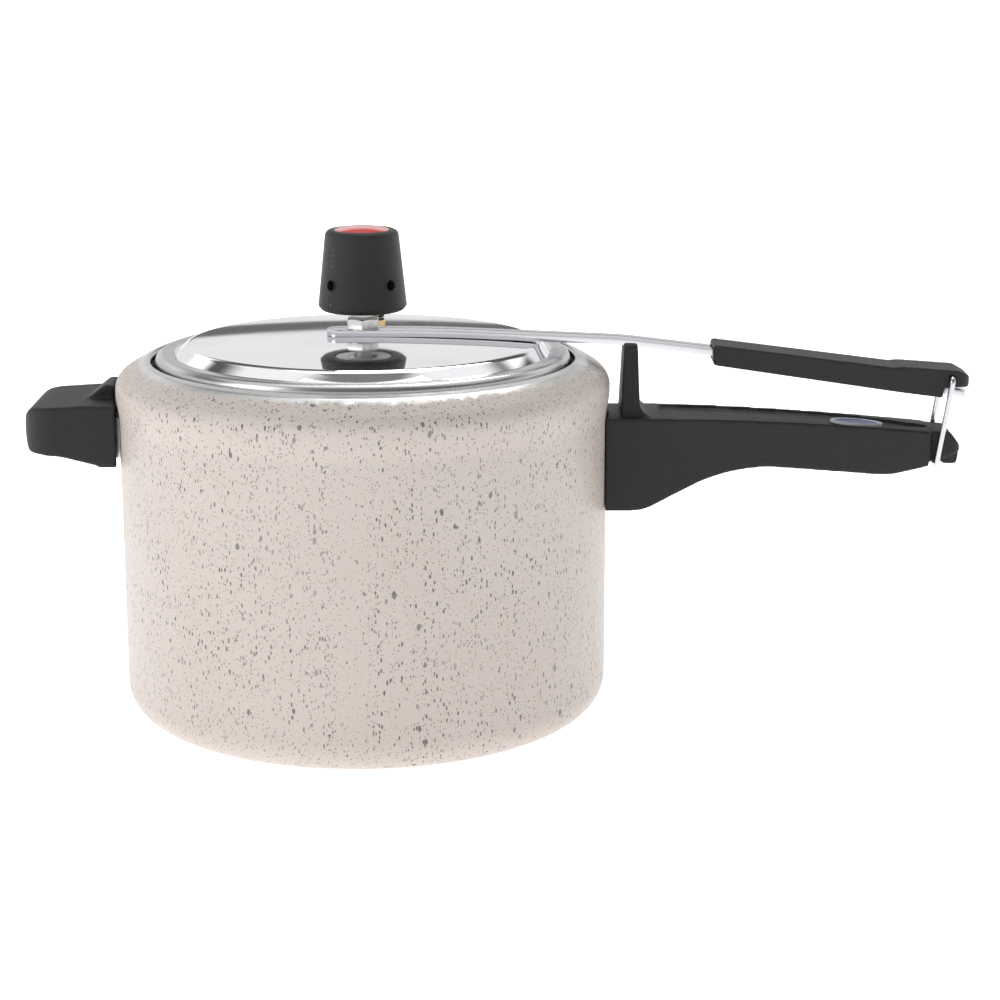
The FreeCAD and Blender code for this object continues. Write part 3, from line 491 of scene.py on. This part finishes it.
def mirrorMetal(name, tint, roughness, satinFrom=None):
    # polished metal; beyond satinFrom it turns to a brushed satin, its colour darkened as painted shade
    # for the darker surroundings the band reflects
    material, tree, shader, place = newMaterial(name)
    link = tree.links.new
    film = useGroup(tree, "film", place, Scale=30.0)
    lines = useGroup(tree, "lines", place, Around=3.0, Across=2600.0)
    dulled = tuple(0.92 * part for part in tint[:3]) + (1,)
    link(ramp(tree, film["Smear"], 0.0, 1.0, 0.99, 1.0), shader.inputs["Metallic"])
    haze = calc(tree, "MULTIPLY_ADD", film["Smear"], 0.03, roughness)
    haze = calc(tree, "MULTIPLY_ADD", film["Dust"], 0.05, haze)
    relief = lines["Lines"]
    colour = blendColour(tree, film["Smear"], tint, dulled)
    if satinFrom:
        split = addNode(tree, "ShaderNodeSeparateXYZ")
        link(stretched(tree, place, (1.0, 1.0 / ovalRatio, 1.0)), split.inputs[0])
        square = calc(tree, "ADD", calc(tree, "MULTIPLY", split.outputs[0], split.outputs[0]),
                      calc(tree, "MULTIPLY", split.outputs[1], split.outputs[1]))
        satin = ramp(tree, calc(tree, "SQRT", square), satinFrom,
                     satinFrom + polishLook["satinFade"])
        haze = calc(tree, "MULTIPLY_ADD", satin, 0.22, haze)
        # painted shade: the band's colour is darkened in place of a darker reflection
        satinShadedColour = blendColour(tree, lines["Bands"], polishLook["satinShadedLight"],
                                  polishLook["satinShadedDark"])
        colour = blendColour(tree, satin, colour, satinShadedColour)
        relief = calc(tree, "MULTIPLY", relief, calc(tree, "MULTIPLY_ADD", satin, 4.0, 1.0))
    link(colour, shader.inputs["Base Color"])
    link(haze, shader.inputs["Roughness"])
    bump(tree, shader, relief, 0.02, 0.00005)
    return material


def blackPhenolic(name, tone, rubbed, roughness):
    # tone is the depth of the black, rubbed is the brightness of the worn corners
    material, tree, shader, place = newMaterial(name, Specular_IOR_Level=0.34)
    link = tree.links.new
    grain = useGroup(tree, "grain", place, Scale=1100.0)
    edges = useGroup(tree, "edges", place)
    dark = (tone, tone, tone * 1.05, 1)
    lighter = (tone * 1.7, tone * 1.65, tone * 1.7, 1)
    pale = (rubbed, rubbed * 0.97, rubbed, 1)
    body = blendColour(tree, grain["Variation"], dark, lighter)
    worn = blendColour(tree, calc(tree, "MULTIPLY", edges["Mask"], 0.6), body, pale)
    # painted highlight: the glint specks lighten the base colour towards grey
    paintedGlints = calc(tree, "MULTIPLY", grain["PaintedGlint"], 0.35)
    link(blendColour(tree, paintedGlints, worn, (0.11, 0.11, 0.115, 1)), shader.inputs["Base Color"])
    link(calc(tree, "MULTIPLY_ADD", grain["Variation"], 0.12, roughness),
         shader.inputs["Roughness"])
    bump(tree, shader, grain["Height"], 0.75, 0.0003)
    return material


capLook = {"red": (0.86, 0.10, 0.085, 1), "redDull": (0.80, 0.12, 0.10, 1)}


def redGloss():
    material, tree, shader, place = newMaterial("redGloss", Coat_Roughness=0.04, IOR=1.52)
    link = tree.links.new
    film = useGroup(tree, "film", place, Scale=120.0)
    link(blendColour(tree, film["Smear"], capLook["red"], capLook["redDull"]),
         shader.inputs["Base Color"])
    link(calc(tree, "MULTIPLY_ADD", film["Smear"], 0.08, 0.12), shader.inputs["Roughness"])
    link(calc(tree, "MULTIPLY_ADD", film["Smear"], -0.1, 0.9), shader.inputs["Coat Weight"])
    ripple = noise(tree, place, 240.0, 2.0)
    bump(tree, shader, ripple.outputs["Fac"], 0.03, 0.0002)
    return material


def platedSteel(name, tint, roughness):
    material, tree, shader, place = newMaterial(name)
    link = tree.links.new
    film = useGroup(tree, "film", place, Scale=160.0)
    tarnish = tuple(0.72 * part for part in tint[:3]) + (1,)
    link(blendColour(tree, calc(tree, "MULTIPLY", film["Smear"], 0.6), tint, tarnish),
         shader.inputs["Base Color"])
    link(ramp(tree, film["Smear"], 0.0, 1.0, 1.0, 0.96), shader.inputs["Metallic"])
    link(calc(tree, "MULTIPLY_ADD", film["Smear"], 0.14, roughness), shader.inputs["Roughness"])
    pitted = noise(tree, place, 1300.0, 3.0)
    bump(tree, shader, pitted.outputs["Fac"], 0.06, 0.0001)
    return material


def blackRubber():
    material, tree, shader, place = newMaterial("blackRubber")
    link = tree.links.new
    grain = useGroup(tree, "grain", place, Scale=900.0)
    link(blendColour(tree, grain["Variation"], (0.014, 0.014, 0.015, 1), (0.03, 0.03, 0.03, 1)),
         shader.inputs["Base Color"])
    link(calc(tree, "MULTIPLY_ADD", grain["Variation"], 0.2, 0.6), shader.inputs["Roughness"])
    bump(tree, shader, grain["Height"], 0.2, 0.0002)
    return material


enamelLook = {
    "field": (0.02, 0.04, 0.24, 1),
    "fieldLight": (0.035, 0.06, 0.30, 1),
    "rim": (0.70, 0.70, 0.78, 1),
    "rimDull": (0.60, 0.60, 0.70, 1),
    "rimStart": 0.80,            # as a share of the badge's half size
    "rimFull": 0.86,
}


def badgeEnamel(centre, halfX, halfY):
    material, tree, shader, place = newMaterial("badgeEnamel", Coat_Roughness=0.05)
    link = tree.links.new
    film = useGroup(tree, "film", place, Scale=90.0)
    # blue field inside a pale rim
    split = addNode(tree, "ShaderNodeSeparateXYZ")
    link(place, split.inputs[0])
    across = calc(tree, "DIVIDE", calc(tree, "SUBTRACT", split.outputs[0], centre.x), halfX)
    along = calc(tree, "DIVIDE", calc(tree, "SUBTRACT", split.outputs[1], centre.y), halfY)
    square = calc(tree, "ADD", calc(tree, "MULTIPLY", across, across),
                  calc(tree, "MULTIPLY", along, along))
    rim = ramp(tree, calc(tree, "SQRT", square), enamelLook["rimStart"], enamelLook["rimFull"])
    field = blendColour(tree, film["Smear"], enamelLook["field"], enamelLook["fieldLight"])
    edge = blendColour(tree, film["Smear"], enamelLook["rim"], enamelLook["rimDull"])
    link(blendColour(tree, rim, field, edge), shader.inputs["Base Color"])
    link(calc(tree, "MULTIPLY_ADD", film["Smear"], 0.1, 0.34), shader.inputs["Roughness"])
    link(calc(tree, "MULTIPLY_ADD", film["Smear"], -0.1, 0.15), shader.inputs["Coat Weight"])
    return material


paint = stonePaint()
lidMetal = mirrorMetal("mirrorMetal", tint=polishLook["lid"], roughness=0.05,
                       satinFrom=skirtHalf - polishLook["satinBand"])
chrome = mirrorMetal("brightChrome", tint=polishLook["bar"], roughness=0.12)
phenolic = blackPhenolic("blackPhenolic", tone=0.009, rubbed=0.08, roughness=0.42)
coverPhenolic = blackPhenolic("coverPhenolic", tone=0.014, rubbed=0.10, roughness=0.38)
redCap = redGloss()
zinc = platedSteel("platedSteel", tint=(0.62, 0.62, 0.61, 1), roughness=0.28)
stainless = platedSteel("satinStainless", tint=(0.55, 0.55, 0.55, 1), roughness=0.34)
brass = platedSteel("turnedBrass", tint=(0.72, 0.52, 0.24, 1), roughness=0.26)
fusible = platedSteel("fusibleAlloy", tint=(0.45, 0.45, 0.46, 1), roughness=0.5)
rubber = blackRubber()
print("materials made")

slotMaterials = {
    "painted_aluminium": paint,
    "polished_aluminium": lidMetal,
    "chrome_bar": chrome,
    "zinc_steel": zinc,
    "stainless": stainless,
    "black_phenolic": phenolic,
    "red_cap": redCap,
    "brass": brass,
    "black_rubber": rubber,
    "fusible_alloy": fusible,
}


def dressCadNodes():
    # every carried-over CAD node takes the material of its slot
    for entry in frame["record"]["subparts"]:
        material = slotMaterials.get(entry["material_slot"])
        node = nodes[entry["node"]]
        if material is not None:
            node.data.materials.clear()
            node.data.materials.append(material)


dressCadNodes()

potShape = {
    "wall": 2.0 * mm,
    "base": 3.0 * mm,
    "corner": 14.0 * mm,
    "shoulderRound": 8.0 * mm,
    "slopeDegrees": 30.0,
    "rimRound": 6.0 * mm,
    "mouthGap": 1.8 * mm,
    "swellTop": 3.0 * mm,
    "swellStart": 11.0 * mm,
    "swellRound": 30.0 * mm,
    "shoulderDrop": 11.8 * mm,
    "gaugeLow": 13.0 * mm,       # the straight wall is measured between these heights
    "gaugeHigh": 15.0 * mm,
    "lipRound": 0.85 * mm,
    "lipDepth": 2.2 * mm,
    "ovalFade": 2.4 * mm,
    "finest": 0.5 * mm,
    "steps": 288,
}


def potHalfLine(inset, floor, corner):
    # half of the pot's section, from the middle of the base to the mouth
    slope = math.radians(potShape["slopeDegrees"])
    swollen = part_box("pot_body")[1].y
    wall = reachAt("pot_body", 1, potShape["gaugeLow"], potShape["gaugeHigh"]) - inset
    shoulder = mouthTop - potShape["shoulderDrop"]
    radius = potShape["shoulderRound"] - inset
    turn = math.pi / 2 - slope
    arcX = swollen - potShape["shoulderRound"] + radius * math.cos(turn)
    arcZ = shoulder + radius * math.sin(turn)
    side = swollen - inset
    rimX = arcX - (mouthTop - inset - arcZ) / math.tan(slope)
    mouth = skirtHalf + potShape["mouthGap"]
    return [
        (0, floor, 0),
        (wall, floor, corner),
        (wall, shoulder - potShape["swellStart"], potShape["swellRound"]),
        (side, shoulder - potShape["swellTop"], potShape["swellRound"]),
        (side, arcZ - (side - arcX) * math.tan(slope), radius),
        (rimX, mouthTop - inset, potShape["rimRound"] - inset),
        (mouth, mouthTop - inset, 0),
    ]


ringStep = 0.001 * mm        # vertices this close to the same radius are one ring


def squeezeMouth(pot, mouth):
    # draws the flat lip in to an oval, one ring after another, less and less away from the mouth
    fade = potShape["ovalFade"]
    rings = {}
    for vertex in pot.data.vertices:
        radius = math.hypot(vertex.co.x, vertex.co.y)
        if vertex.co.z > mouthTop - potShape["lipDepth"] and radius < mouth + fade:
            rings.setdefault(round(radius / ringStep), []).append((radius, vertex.index))
    for members in rings.values():
        middle = sum(radius for radius, index in members) / len(members)
        share = min(1.0, (mouth + fade - middle) / fade)
        editAll(pot)
        bpy.ops.mesh.select_all(action="DESELECT")
        endEdit()
        for radius, index in members:
            pot.data.vertices[index].select = True
        bpy.ops.object.mode_set(mode="EDIT")
        bpy.ops.transform.resize(value=(1, 1 + (ovalRatio - 1) * share, 1),
                                 center_override=(0, 0, 0))
        endEdit()


def buildPot():
    outer = potHalfLine(0, 0, potShape["corner"])
    inner = potHalfLine(potShape["wall"], potShape["base"], potShape["corner"] - potShape["wall"])
    mouth = outer[-1][0]
    outer[-1] = (mouth, mouthTop, potShape["lipRound"])
    inner[-1] = (mouth, mouthTop - potShape["wall"], potShape["lipRound"])
    line = roundedCorners(outer + inner[::-1], potShape["finest"])
    pot = latheLine("potShell", line, potShape["steps"])
    squeezeMouth(pot, mouth)
    smoothByAngle(pot, degrees=50)
    finishPiece(pot, "pot", "painted_aluminium", paint, "pot_body")
    return pot


lidShape = {
    "thickness": 2.2 * mm,
    "crown": 2.4 * mm,
    "ringWidth": 8.6 * mm,
    "ringRise": 2.6 * mm,
    "rollWidth": 4.6 * mm,
    "flangeDrop": 6.4 * mm,
    "grooveDepth": 0.8 * mm,
    "ringShoulder": 1.6 * mm,
    "ringRidge": 0.1 * mm,
    "ringFall": 0.3 * mm,
    "ringRound": 1.2 * mm,
    "skirtRound": 3.6 * mm,
    "plateauRound": 5.0 * mm,
    "crownEase": 0.92,
    "underInset": 1.2 * mm,
    "ventHole": 4.05 * mm,
    "finest": 0.25 * mm,
    "steps": 288,
}


def buildLid():
    thick = lidShape["thickness"]
    top = lidHigh.z
    groove = skirtHalf - lidShape["ringWidth"]
    plateau = groove - lidShape["rollWidth"]
    ringTop = mouthTop + lidShape["ringRise"]
    floor = ringTop - lidShape["grooveDepth"]
    edge = top - lidShape["crown"]
    flangeTop = mouthTop - lidShape["flangeDrop"]
    half = plateau / 2
    crownRadius = lidShape["crownEase"] * half * plateau / lidShape["crown"]
    vent = lidShape["ventHole"]
    under = lidShape["underInset"]
    # (distance from the axis, height, rounding radius), up over the top and back along the underside
    corners = [
        (vent, top, 0),
        (half, top, crownRadius),
        (plateau, edge, lidShape["plateauRound"]),
        (groove, floor, 0.5 * mm),
        (groove + lidShape["ringShoulder"], ringTop + lidShape["ringRidge"], lidShape["ringRound"]),
        (skirtHalf, ringTop - lidShape["ringFall"], lidShape["skirtRound"]),
        (skirtHalf, flangeTop, 0.4 * mm),
        (lidHigh.x, flangeTop, 0.5 * mm),
        (lidHigh.x, lidLow.z, 0.6 * mm),
        (skirtHalf - thick, lidLow.z, 1.0 * mm),
        (skirtHalf - thick, floor - thick, 1.6 * mm),
        (groove - under, floor - thick, 2.0 * mm),
        (plateau - under, edge - thick, 3.0 * mm),
        (half, top - thick, crownRadius),
        (vent, top - thick, 0),
    ]
    line = roundedCorners(corners, lidShape["finest"])
    lid = latheLine("lidDish", line + [line[0]], lidShape["steps"])
    selectOnly(lid)
    lid.scale = (1, ovalRatio, 1)
    placeInMesh(lid)
    smoothByAngle(lid, degrees=40)
    finishPiece(lid, "lid", "polished_aluminium", lidMetal, "lid_plate")
    return lid


def buildMoulded(name, node, body, material, voxel, passes, extra=None):
    # a moulded piece: the CAD shape with every sharp edge softened
    piece = copyOfNode(node, name)
    addModifier(piece, "REMESH", mode="VOXEL", voxel_size=voxel, adaptivity=0.0,
                use_smooth_shade=True)
    addModifier(piece, "SMOOTH", factor=0.5, iterations=passes)
    if extra:
        extra(piece)
    smoothAll(piece)
    finishPiece(piece, body, "black_phenolic", material, node)
    return piece


def buildBevelled(name, node, body, slot, material, width):
    # the CAD shape with its sharp edges rounded
    piece = copyOfNode(node, name)
    addModifier(piece, "BEVEL", width=width, segments=3, limit_method="ANGLE",
                angle_limit=math.radians(34), harden_normals=False, use_clamp_overlap=True)
    smoothByAngle(piece, degrees=42)
    finishPiece(piece, body, slot, material, node)
    return piece


badgeShape = {
    "steps": 96,
    "rim": 0.9 * mm,
    "dip": 0.35 * mm,
    "edgeRound": 0.15 * mm,
    "endBand": 1.0 * mm,         # the slope is measured within this of each end
}


def buildBadge():
    low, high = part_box("handle_badge")
    ends = nodes["handle_badge"].data.vertices
    rear = max(v.co.z for v in ends if v.co.x < low.x + badgeShape["endBand"])
    front = max(v.co.z for v in ends if v.co.x > high.x - badgeShape["endBand"])
    centre = (low + high) / 2
    halfX = (high.x - low.x) / 2
    halfY = (high.y - low.y) / 2
    bpy.ops.object.select_all(action="DESELECT")
    bpy.ops.mesh.primitive_circle_add(vertices=badgeShape["steps"], radius=1.0, fill_type="NGON")
    badge = namePiece("ovalBadge")
    badge.scale = (halfX, halfY, 1)
    placeInMesh(badge)
    thickness = high.z - low.z - abs(rear - front)
    editAll(badge)
    bpy.ops.mesh.extrude_region_move(TRANSFORM_OT_translate={"value": (0, 0, thickness)})
    bpy.ops.mesh.inset(thickness=badgeShape["rim"], depth=0)
    bpy.ops.mesh.inset(thickness=badgeShape["dip"], depth=-badgeShape["dip"])
    endEdit()
    addModifier(badge, "BEVEL", width=badgeShape["edgeRound"], segments=2, limit_method="ANGLE",
                angle_limit=math.radians(30))
    badge.rotation_euler.y = math.atan2(rear - front, high.x - low.x)
    badge.location = (centre.x, centre.y, (rear + front) / 2 - thickness)
    placeInMesh(badge)
    outwardNormals(badge)
    smoothByAngle(badge, degrees=35)
    finishPiece(badge, "pot", "badge_enamel", badgeEnamel(centre, halfX, halfY), "handle_badge")
    return badge


coverShape = {
    "holes": 4,
    "firstHole": 45,             # degrees from X
    "holeRadius": 2.25 * mm,
    "holeRise": 11.8 * mm,       # above the foot of the cover
    "topRadius": 15.0 * mm,
    "rimOut": 0.15 * mm,
    "rimProud": 0.35 * mm,
    "rimSteps": 48,
    "rimSides": 12,
}


def addSteamRims(cover):
    # a thin raised rim round each steam hole, joined to the cover
    shellLow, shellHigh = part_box("regulator_shell")
    height = shellLow.z + coverShape["holeRise"]
    share = (height - shellLow.z) / (shellHigh.z - shellLow.z)
    foot = shellHigh.x
    head = coverShape["topRadius"]
    radius = foot + (head - foot) * share
    lean = math.atan2(foot - head, shellHigh.z - shellLow.z)
    rims = []
    for turn in range(coverShape["holes"]):
        angle = math.radians(coverShape["firstHole"] + 360 / coverShape["holes"] * turn)
        bpy.ops.object.select_all(action="DESELECT")
        bpy.ops.mesh.primitive_torus_add(
            major_radius=coverShape["holeRadius"] + coverShape["rimOut"],
            minor_radius=coverShape["rimProud"],
            major_segments=coverShape["rimSteps"], minor_segments=coverShape["rimSides"],
            location=(radius * math.cos(angle), radius * math.sin(angle), height),
            rotation=(0, math.pi / 2 - lean, angle))
        rim = namePiece("steamRim")
        placeInMesh(rim)
        rims.append(rim)
    selectOnly(cover)
    for rim in rims:
        rim.select_set(True)
    bpy.ops.object.join()


domeShape = {
    "seatDepth": 0.1 * mm,
    "skirt": 1.2 * mm,
    "stemRadius": 2.7 * mm,
    "arcSteps": 32,
    "steps": 160,
}


def buildDome():
    # a shallow dome with a skirt and a short stem, drawn from its top down to the stem's foot
    low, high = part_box("regulator_cap")
    radius = high.x
    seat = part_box("regulator_shell")[1].z
    rise = high.z - seat + domeShape["seatDepth"]
    sphere = (radius ** 2 + rise ** 2) / (2 * rise)
    line = []
    for step in range(domeShape["arcSteps"] + 1):
        x = radius * step / domeShape["arcSteps"]
        line.append(Vector((x, high.z - sphere + math.sqrt(sphere ** 2 - x ** 2))))
    skirtFoot = seat - domeShape["skirt"]
    stem = domeShape["stemRadius"]
    line += [Vector((radius, skirtFoot)), Vector((stem, skirtFoot)), Vector((stem, low.z)),
             Vector((0, low.z))]
    dome = latheLine("capDome", line, domeShape["steps"])
    smoothByAngle(dome, degrees=40)
    finishPiece(dome, "regulator", "red_cap", redCap, "regulator_cap")
    return dome


mouldedPieces = {
    "longHandle": {"node": "body_handle", "body": "pot", "material": phenolic,
                   "voxel": 0.60 * mm, "passes": 6},
    "shortHandle": {"node": "helper_handle", "body": "pot", "material": phenolic,
                    "voxel": 0.60 * mm, "passes": 12},
    "leverGrip": {"node": "lid_grip", "body": "lid", "material": phenolic,
                  "voxel": 0.45 * mm, "passes": 4},
    "weightCover": {"node": "regulator_shell", "body": "regulator", "material": coverPhenolic,
                    "voxel": 0.35 * mm, "passes": 3, "extra": addSteamRims},
}

bevelledPieces = {
    "leverBar": {"node": "lid_bar", "body": "lid", "slot": "chrome_bar",
                 "material": chrome, "width": 0.45 * mm},
    "ventNut": {"node": "vent_nut", "body": "lid", "slot": "zinc_steel",
                "material": zinc, "width": 0.3 * mm},
    "barWasher": {"node": "bar_washer", "body": "lid", "slot": "zinc_steel",
                  "material": zinc, "width": 0.12 * mm},
    "safetyValve": {"node": "safety_valve_body", "body": "lid", "slot": "brass",
                    "material": brass, "width": 0.3 * mm},
    "handleBracket": {"node": "handle_bracket", "body": "pot", "slot": "zinc_steel",
                      "material": zinc, "width": 0.3 * mm},
    "helperBracket": {"node": "helper_bracket", "body": "pot", "slot": "zinc_steel",
                      "material": zinc, "width": 0.3 * mm},
}

buildPot()
print("pot made")
buildLid()
print("lid made")
for name, values in mouldedPieces.items():
    buildMoulded(name, **values)
print("moulded pieces made")
buildDome()
buildBadge()
for name, values in bevelledPieces.items():
    buildBevelled(name, **values)
print("metal pieces made")


# Stage, lights and camera

floorLook = {
    "size": 60,
    "drop": 0.02 * mm,
    "shade": (0.90, 0.90, 0.90, 1),
    "shadeLight": (0.93, 0.93, 0.93, 1),
    "roughness": 0.9,
    "glow": 0.80,
}


def buildStage():
    bpy.ops.object.select_all(action="DESELECT")
    bpy.ops.mesh.primitive_plane_add(size=floorLook["size"], location=(0, 0, -floorLook["drop"]))
    floor = namePiece("studioFloor")
    material, tree, shader, place = newMaterial("studioFloor", Roughness=floorLook["roughness"])
    cloud = noise(tree, place, 3.0, 2.0)
    tree.links.new(blendColour(tree, cloud.outputs["Fac"], floorLook["shade"],
                               floorLook["shadeLight"]), shader.inputs["Base Color"])
    shader.inputs["Emission Strength"].default_value = floorLook["glow"]
    shader.inputs["Emission Color"].default_value = (1, 1, 1, 1)
    floor.data.materials.append(material)


# Patches of the studio's light over its base: turn is 0 away from the camera and grows to the
# right, rise is the height over the horizon, and soft is how far the edge fades to either side,
# all in degrees
studioPatches = [
    {"strength": 0.10, "turn": (-180, 180), "rise": (26, 50), "soft": 3},
    {"strength": 0.14, "turn": (-11, 12), "rise": (4.8, 8.4), "soft": 0.5},
    {"strength": 1.30, "turn": (-58, -22), "rise": (22, 34), "soft": 3},
    {"strength": 1.20, "turn": (38, 66), "rise": (22, 40), "soft": 4},
    {"strength": 1.00, "turn": (-120, -40), "rise": (46, 74), "soft": 6},
    {"strength": 1.00, "turn": (40, 110), "rise": (46, 74), "soft": 6},
]
studioLight = {"base": 0.86, "top": 0.22, "fadeFrom": 30, "fadeTo": 60}
fullTurn = 360


def buildWorld():
    world = bpy.data.worlds.new("studio")
    bpy.context.scene.world = world
    world.use_nodes = True
    tree = world.node_tree
    background = tree.nodes["Background"]
    direction = tree.nodes.new("ShaderNodeTexCoord").outputs["Generated"]
    split = addNode(tree, "ShaderNodeSeparateXYZ")
    tree.links.new(direction, split.inputs[0])
    toDegrees = 180 / math.pi
    rise = calc(tree, "MULTIPLY", calc(tree, "ARCSINE", split.outputs[2]), toDegrees)
    bearing = calc(tree, "ARCTAN2", split.outputs[0], split.outputs[1])
    turn = calc(tree, "MULTIPLY", bearing, toDegrees)
    light = ramp(tree, rise, studioLight["fadeFrom"], studioLight["fadeTo"], studioLight["base"],
                 studioLight["top"])
    for patch in studioPatches:
        soft = patch["soft"]
        mask = 1.0
        for source, (low, high) in ((turn, patch["turn"]), (rise, patch["rise"])):
            if high - low >= fullTurn:
                continue
            opening = ramp(tree, source, low - soft, low + soft)
            closing = ramp(tree, source, high - soft, high + soft, 1.0, 0.0)
            both = calc(tree, "MULTIPLY", opening, closing)
            mask = both if mask == 1.0 else calc(tree, "MULTIPLY", mask, both)
        change = calc(tree, "MULTIPLY", calc(tree, "SUBTRACT", patch["strength"], light), mask)
        light = calc(tree, "ADD", light, change)
    # seen directly, the studio is plain white: the patches are only there to be reflected
    seen = tree.nodes.new("ShaderNodeLightPath").outputs["Is Camera Ray"]
    plain = calc(tree, "MULTIPLY", calc(tree, "SUBTRACT", 1.0, light), seen)
    tree.links.new(calc(tree, "ADD", light, plain), background.inputs["Strength"])
    background.inputs["Color"].default_value = (1, 1, 1, 1)


def addSoftbox(name, place, target, size, power):
    light = bpy.data.lights.new(name, "AREA")
    light.shape = "RECTANGLE"
    light.size, light.size_y = size
    light.energy = power
    lamp = bpy.data.objects.new(name, light)
    lamp.location = place
    lamp.rotation_euler = (Vector(target) - Vector(place)).to_track_quat("-Z", "Y").to_euler()
    bpy.context.scene.collection.objects.link(lamp)


softboxes = {
    "leftBox": {"place": (-1.3, -0.7, 1.0), "target": (0, 0, 0.1), "size": (0.8, 1.0), "power": 7},
    "backBox": {"place": (0.3, 1.1, 1.7), "target": (0.1, 0, 0.1), "size": (1.0, 0.4), "power": 9},
    "topBox": {"place": (0.0, 0.3, 1.8), "target": (0, 0, 0.1), "size": (1.2, 0.8), "power": 4},
}

cameraView = {"place": (0.0569, -1.0, 0.3341), "downDegrees": 13.85, "lens": 87.7, "clipStart": 0.01}


def buildCamera():
    camera = bpy.data.cameras.new("camera")
    camera.lens = cameraView["lens"]
    camera.clip_start = cameraView["clipStart"]
    rig = bpy.data.objects.new("camera", camera)
    rig.location = cameraView["place"]
    rig.rotation_euler = (math.radians(90 - cameraView["downDegrees"]), 0, 0)
    bpy.context.scene.collection.objects.link(rig)
    bpy.context.scene.camera = rig


buildStage()
buildWorld()
for name, values in softboxes.items():
    addSoftbox(name, **values)
buildCamera()
bpy.context.scene.view_settings.view_transform = "Standard"
print("stage, lights and camera set")
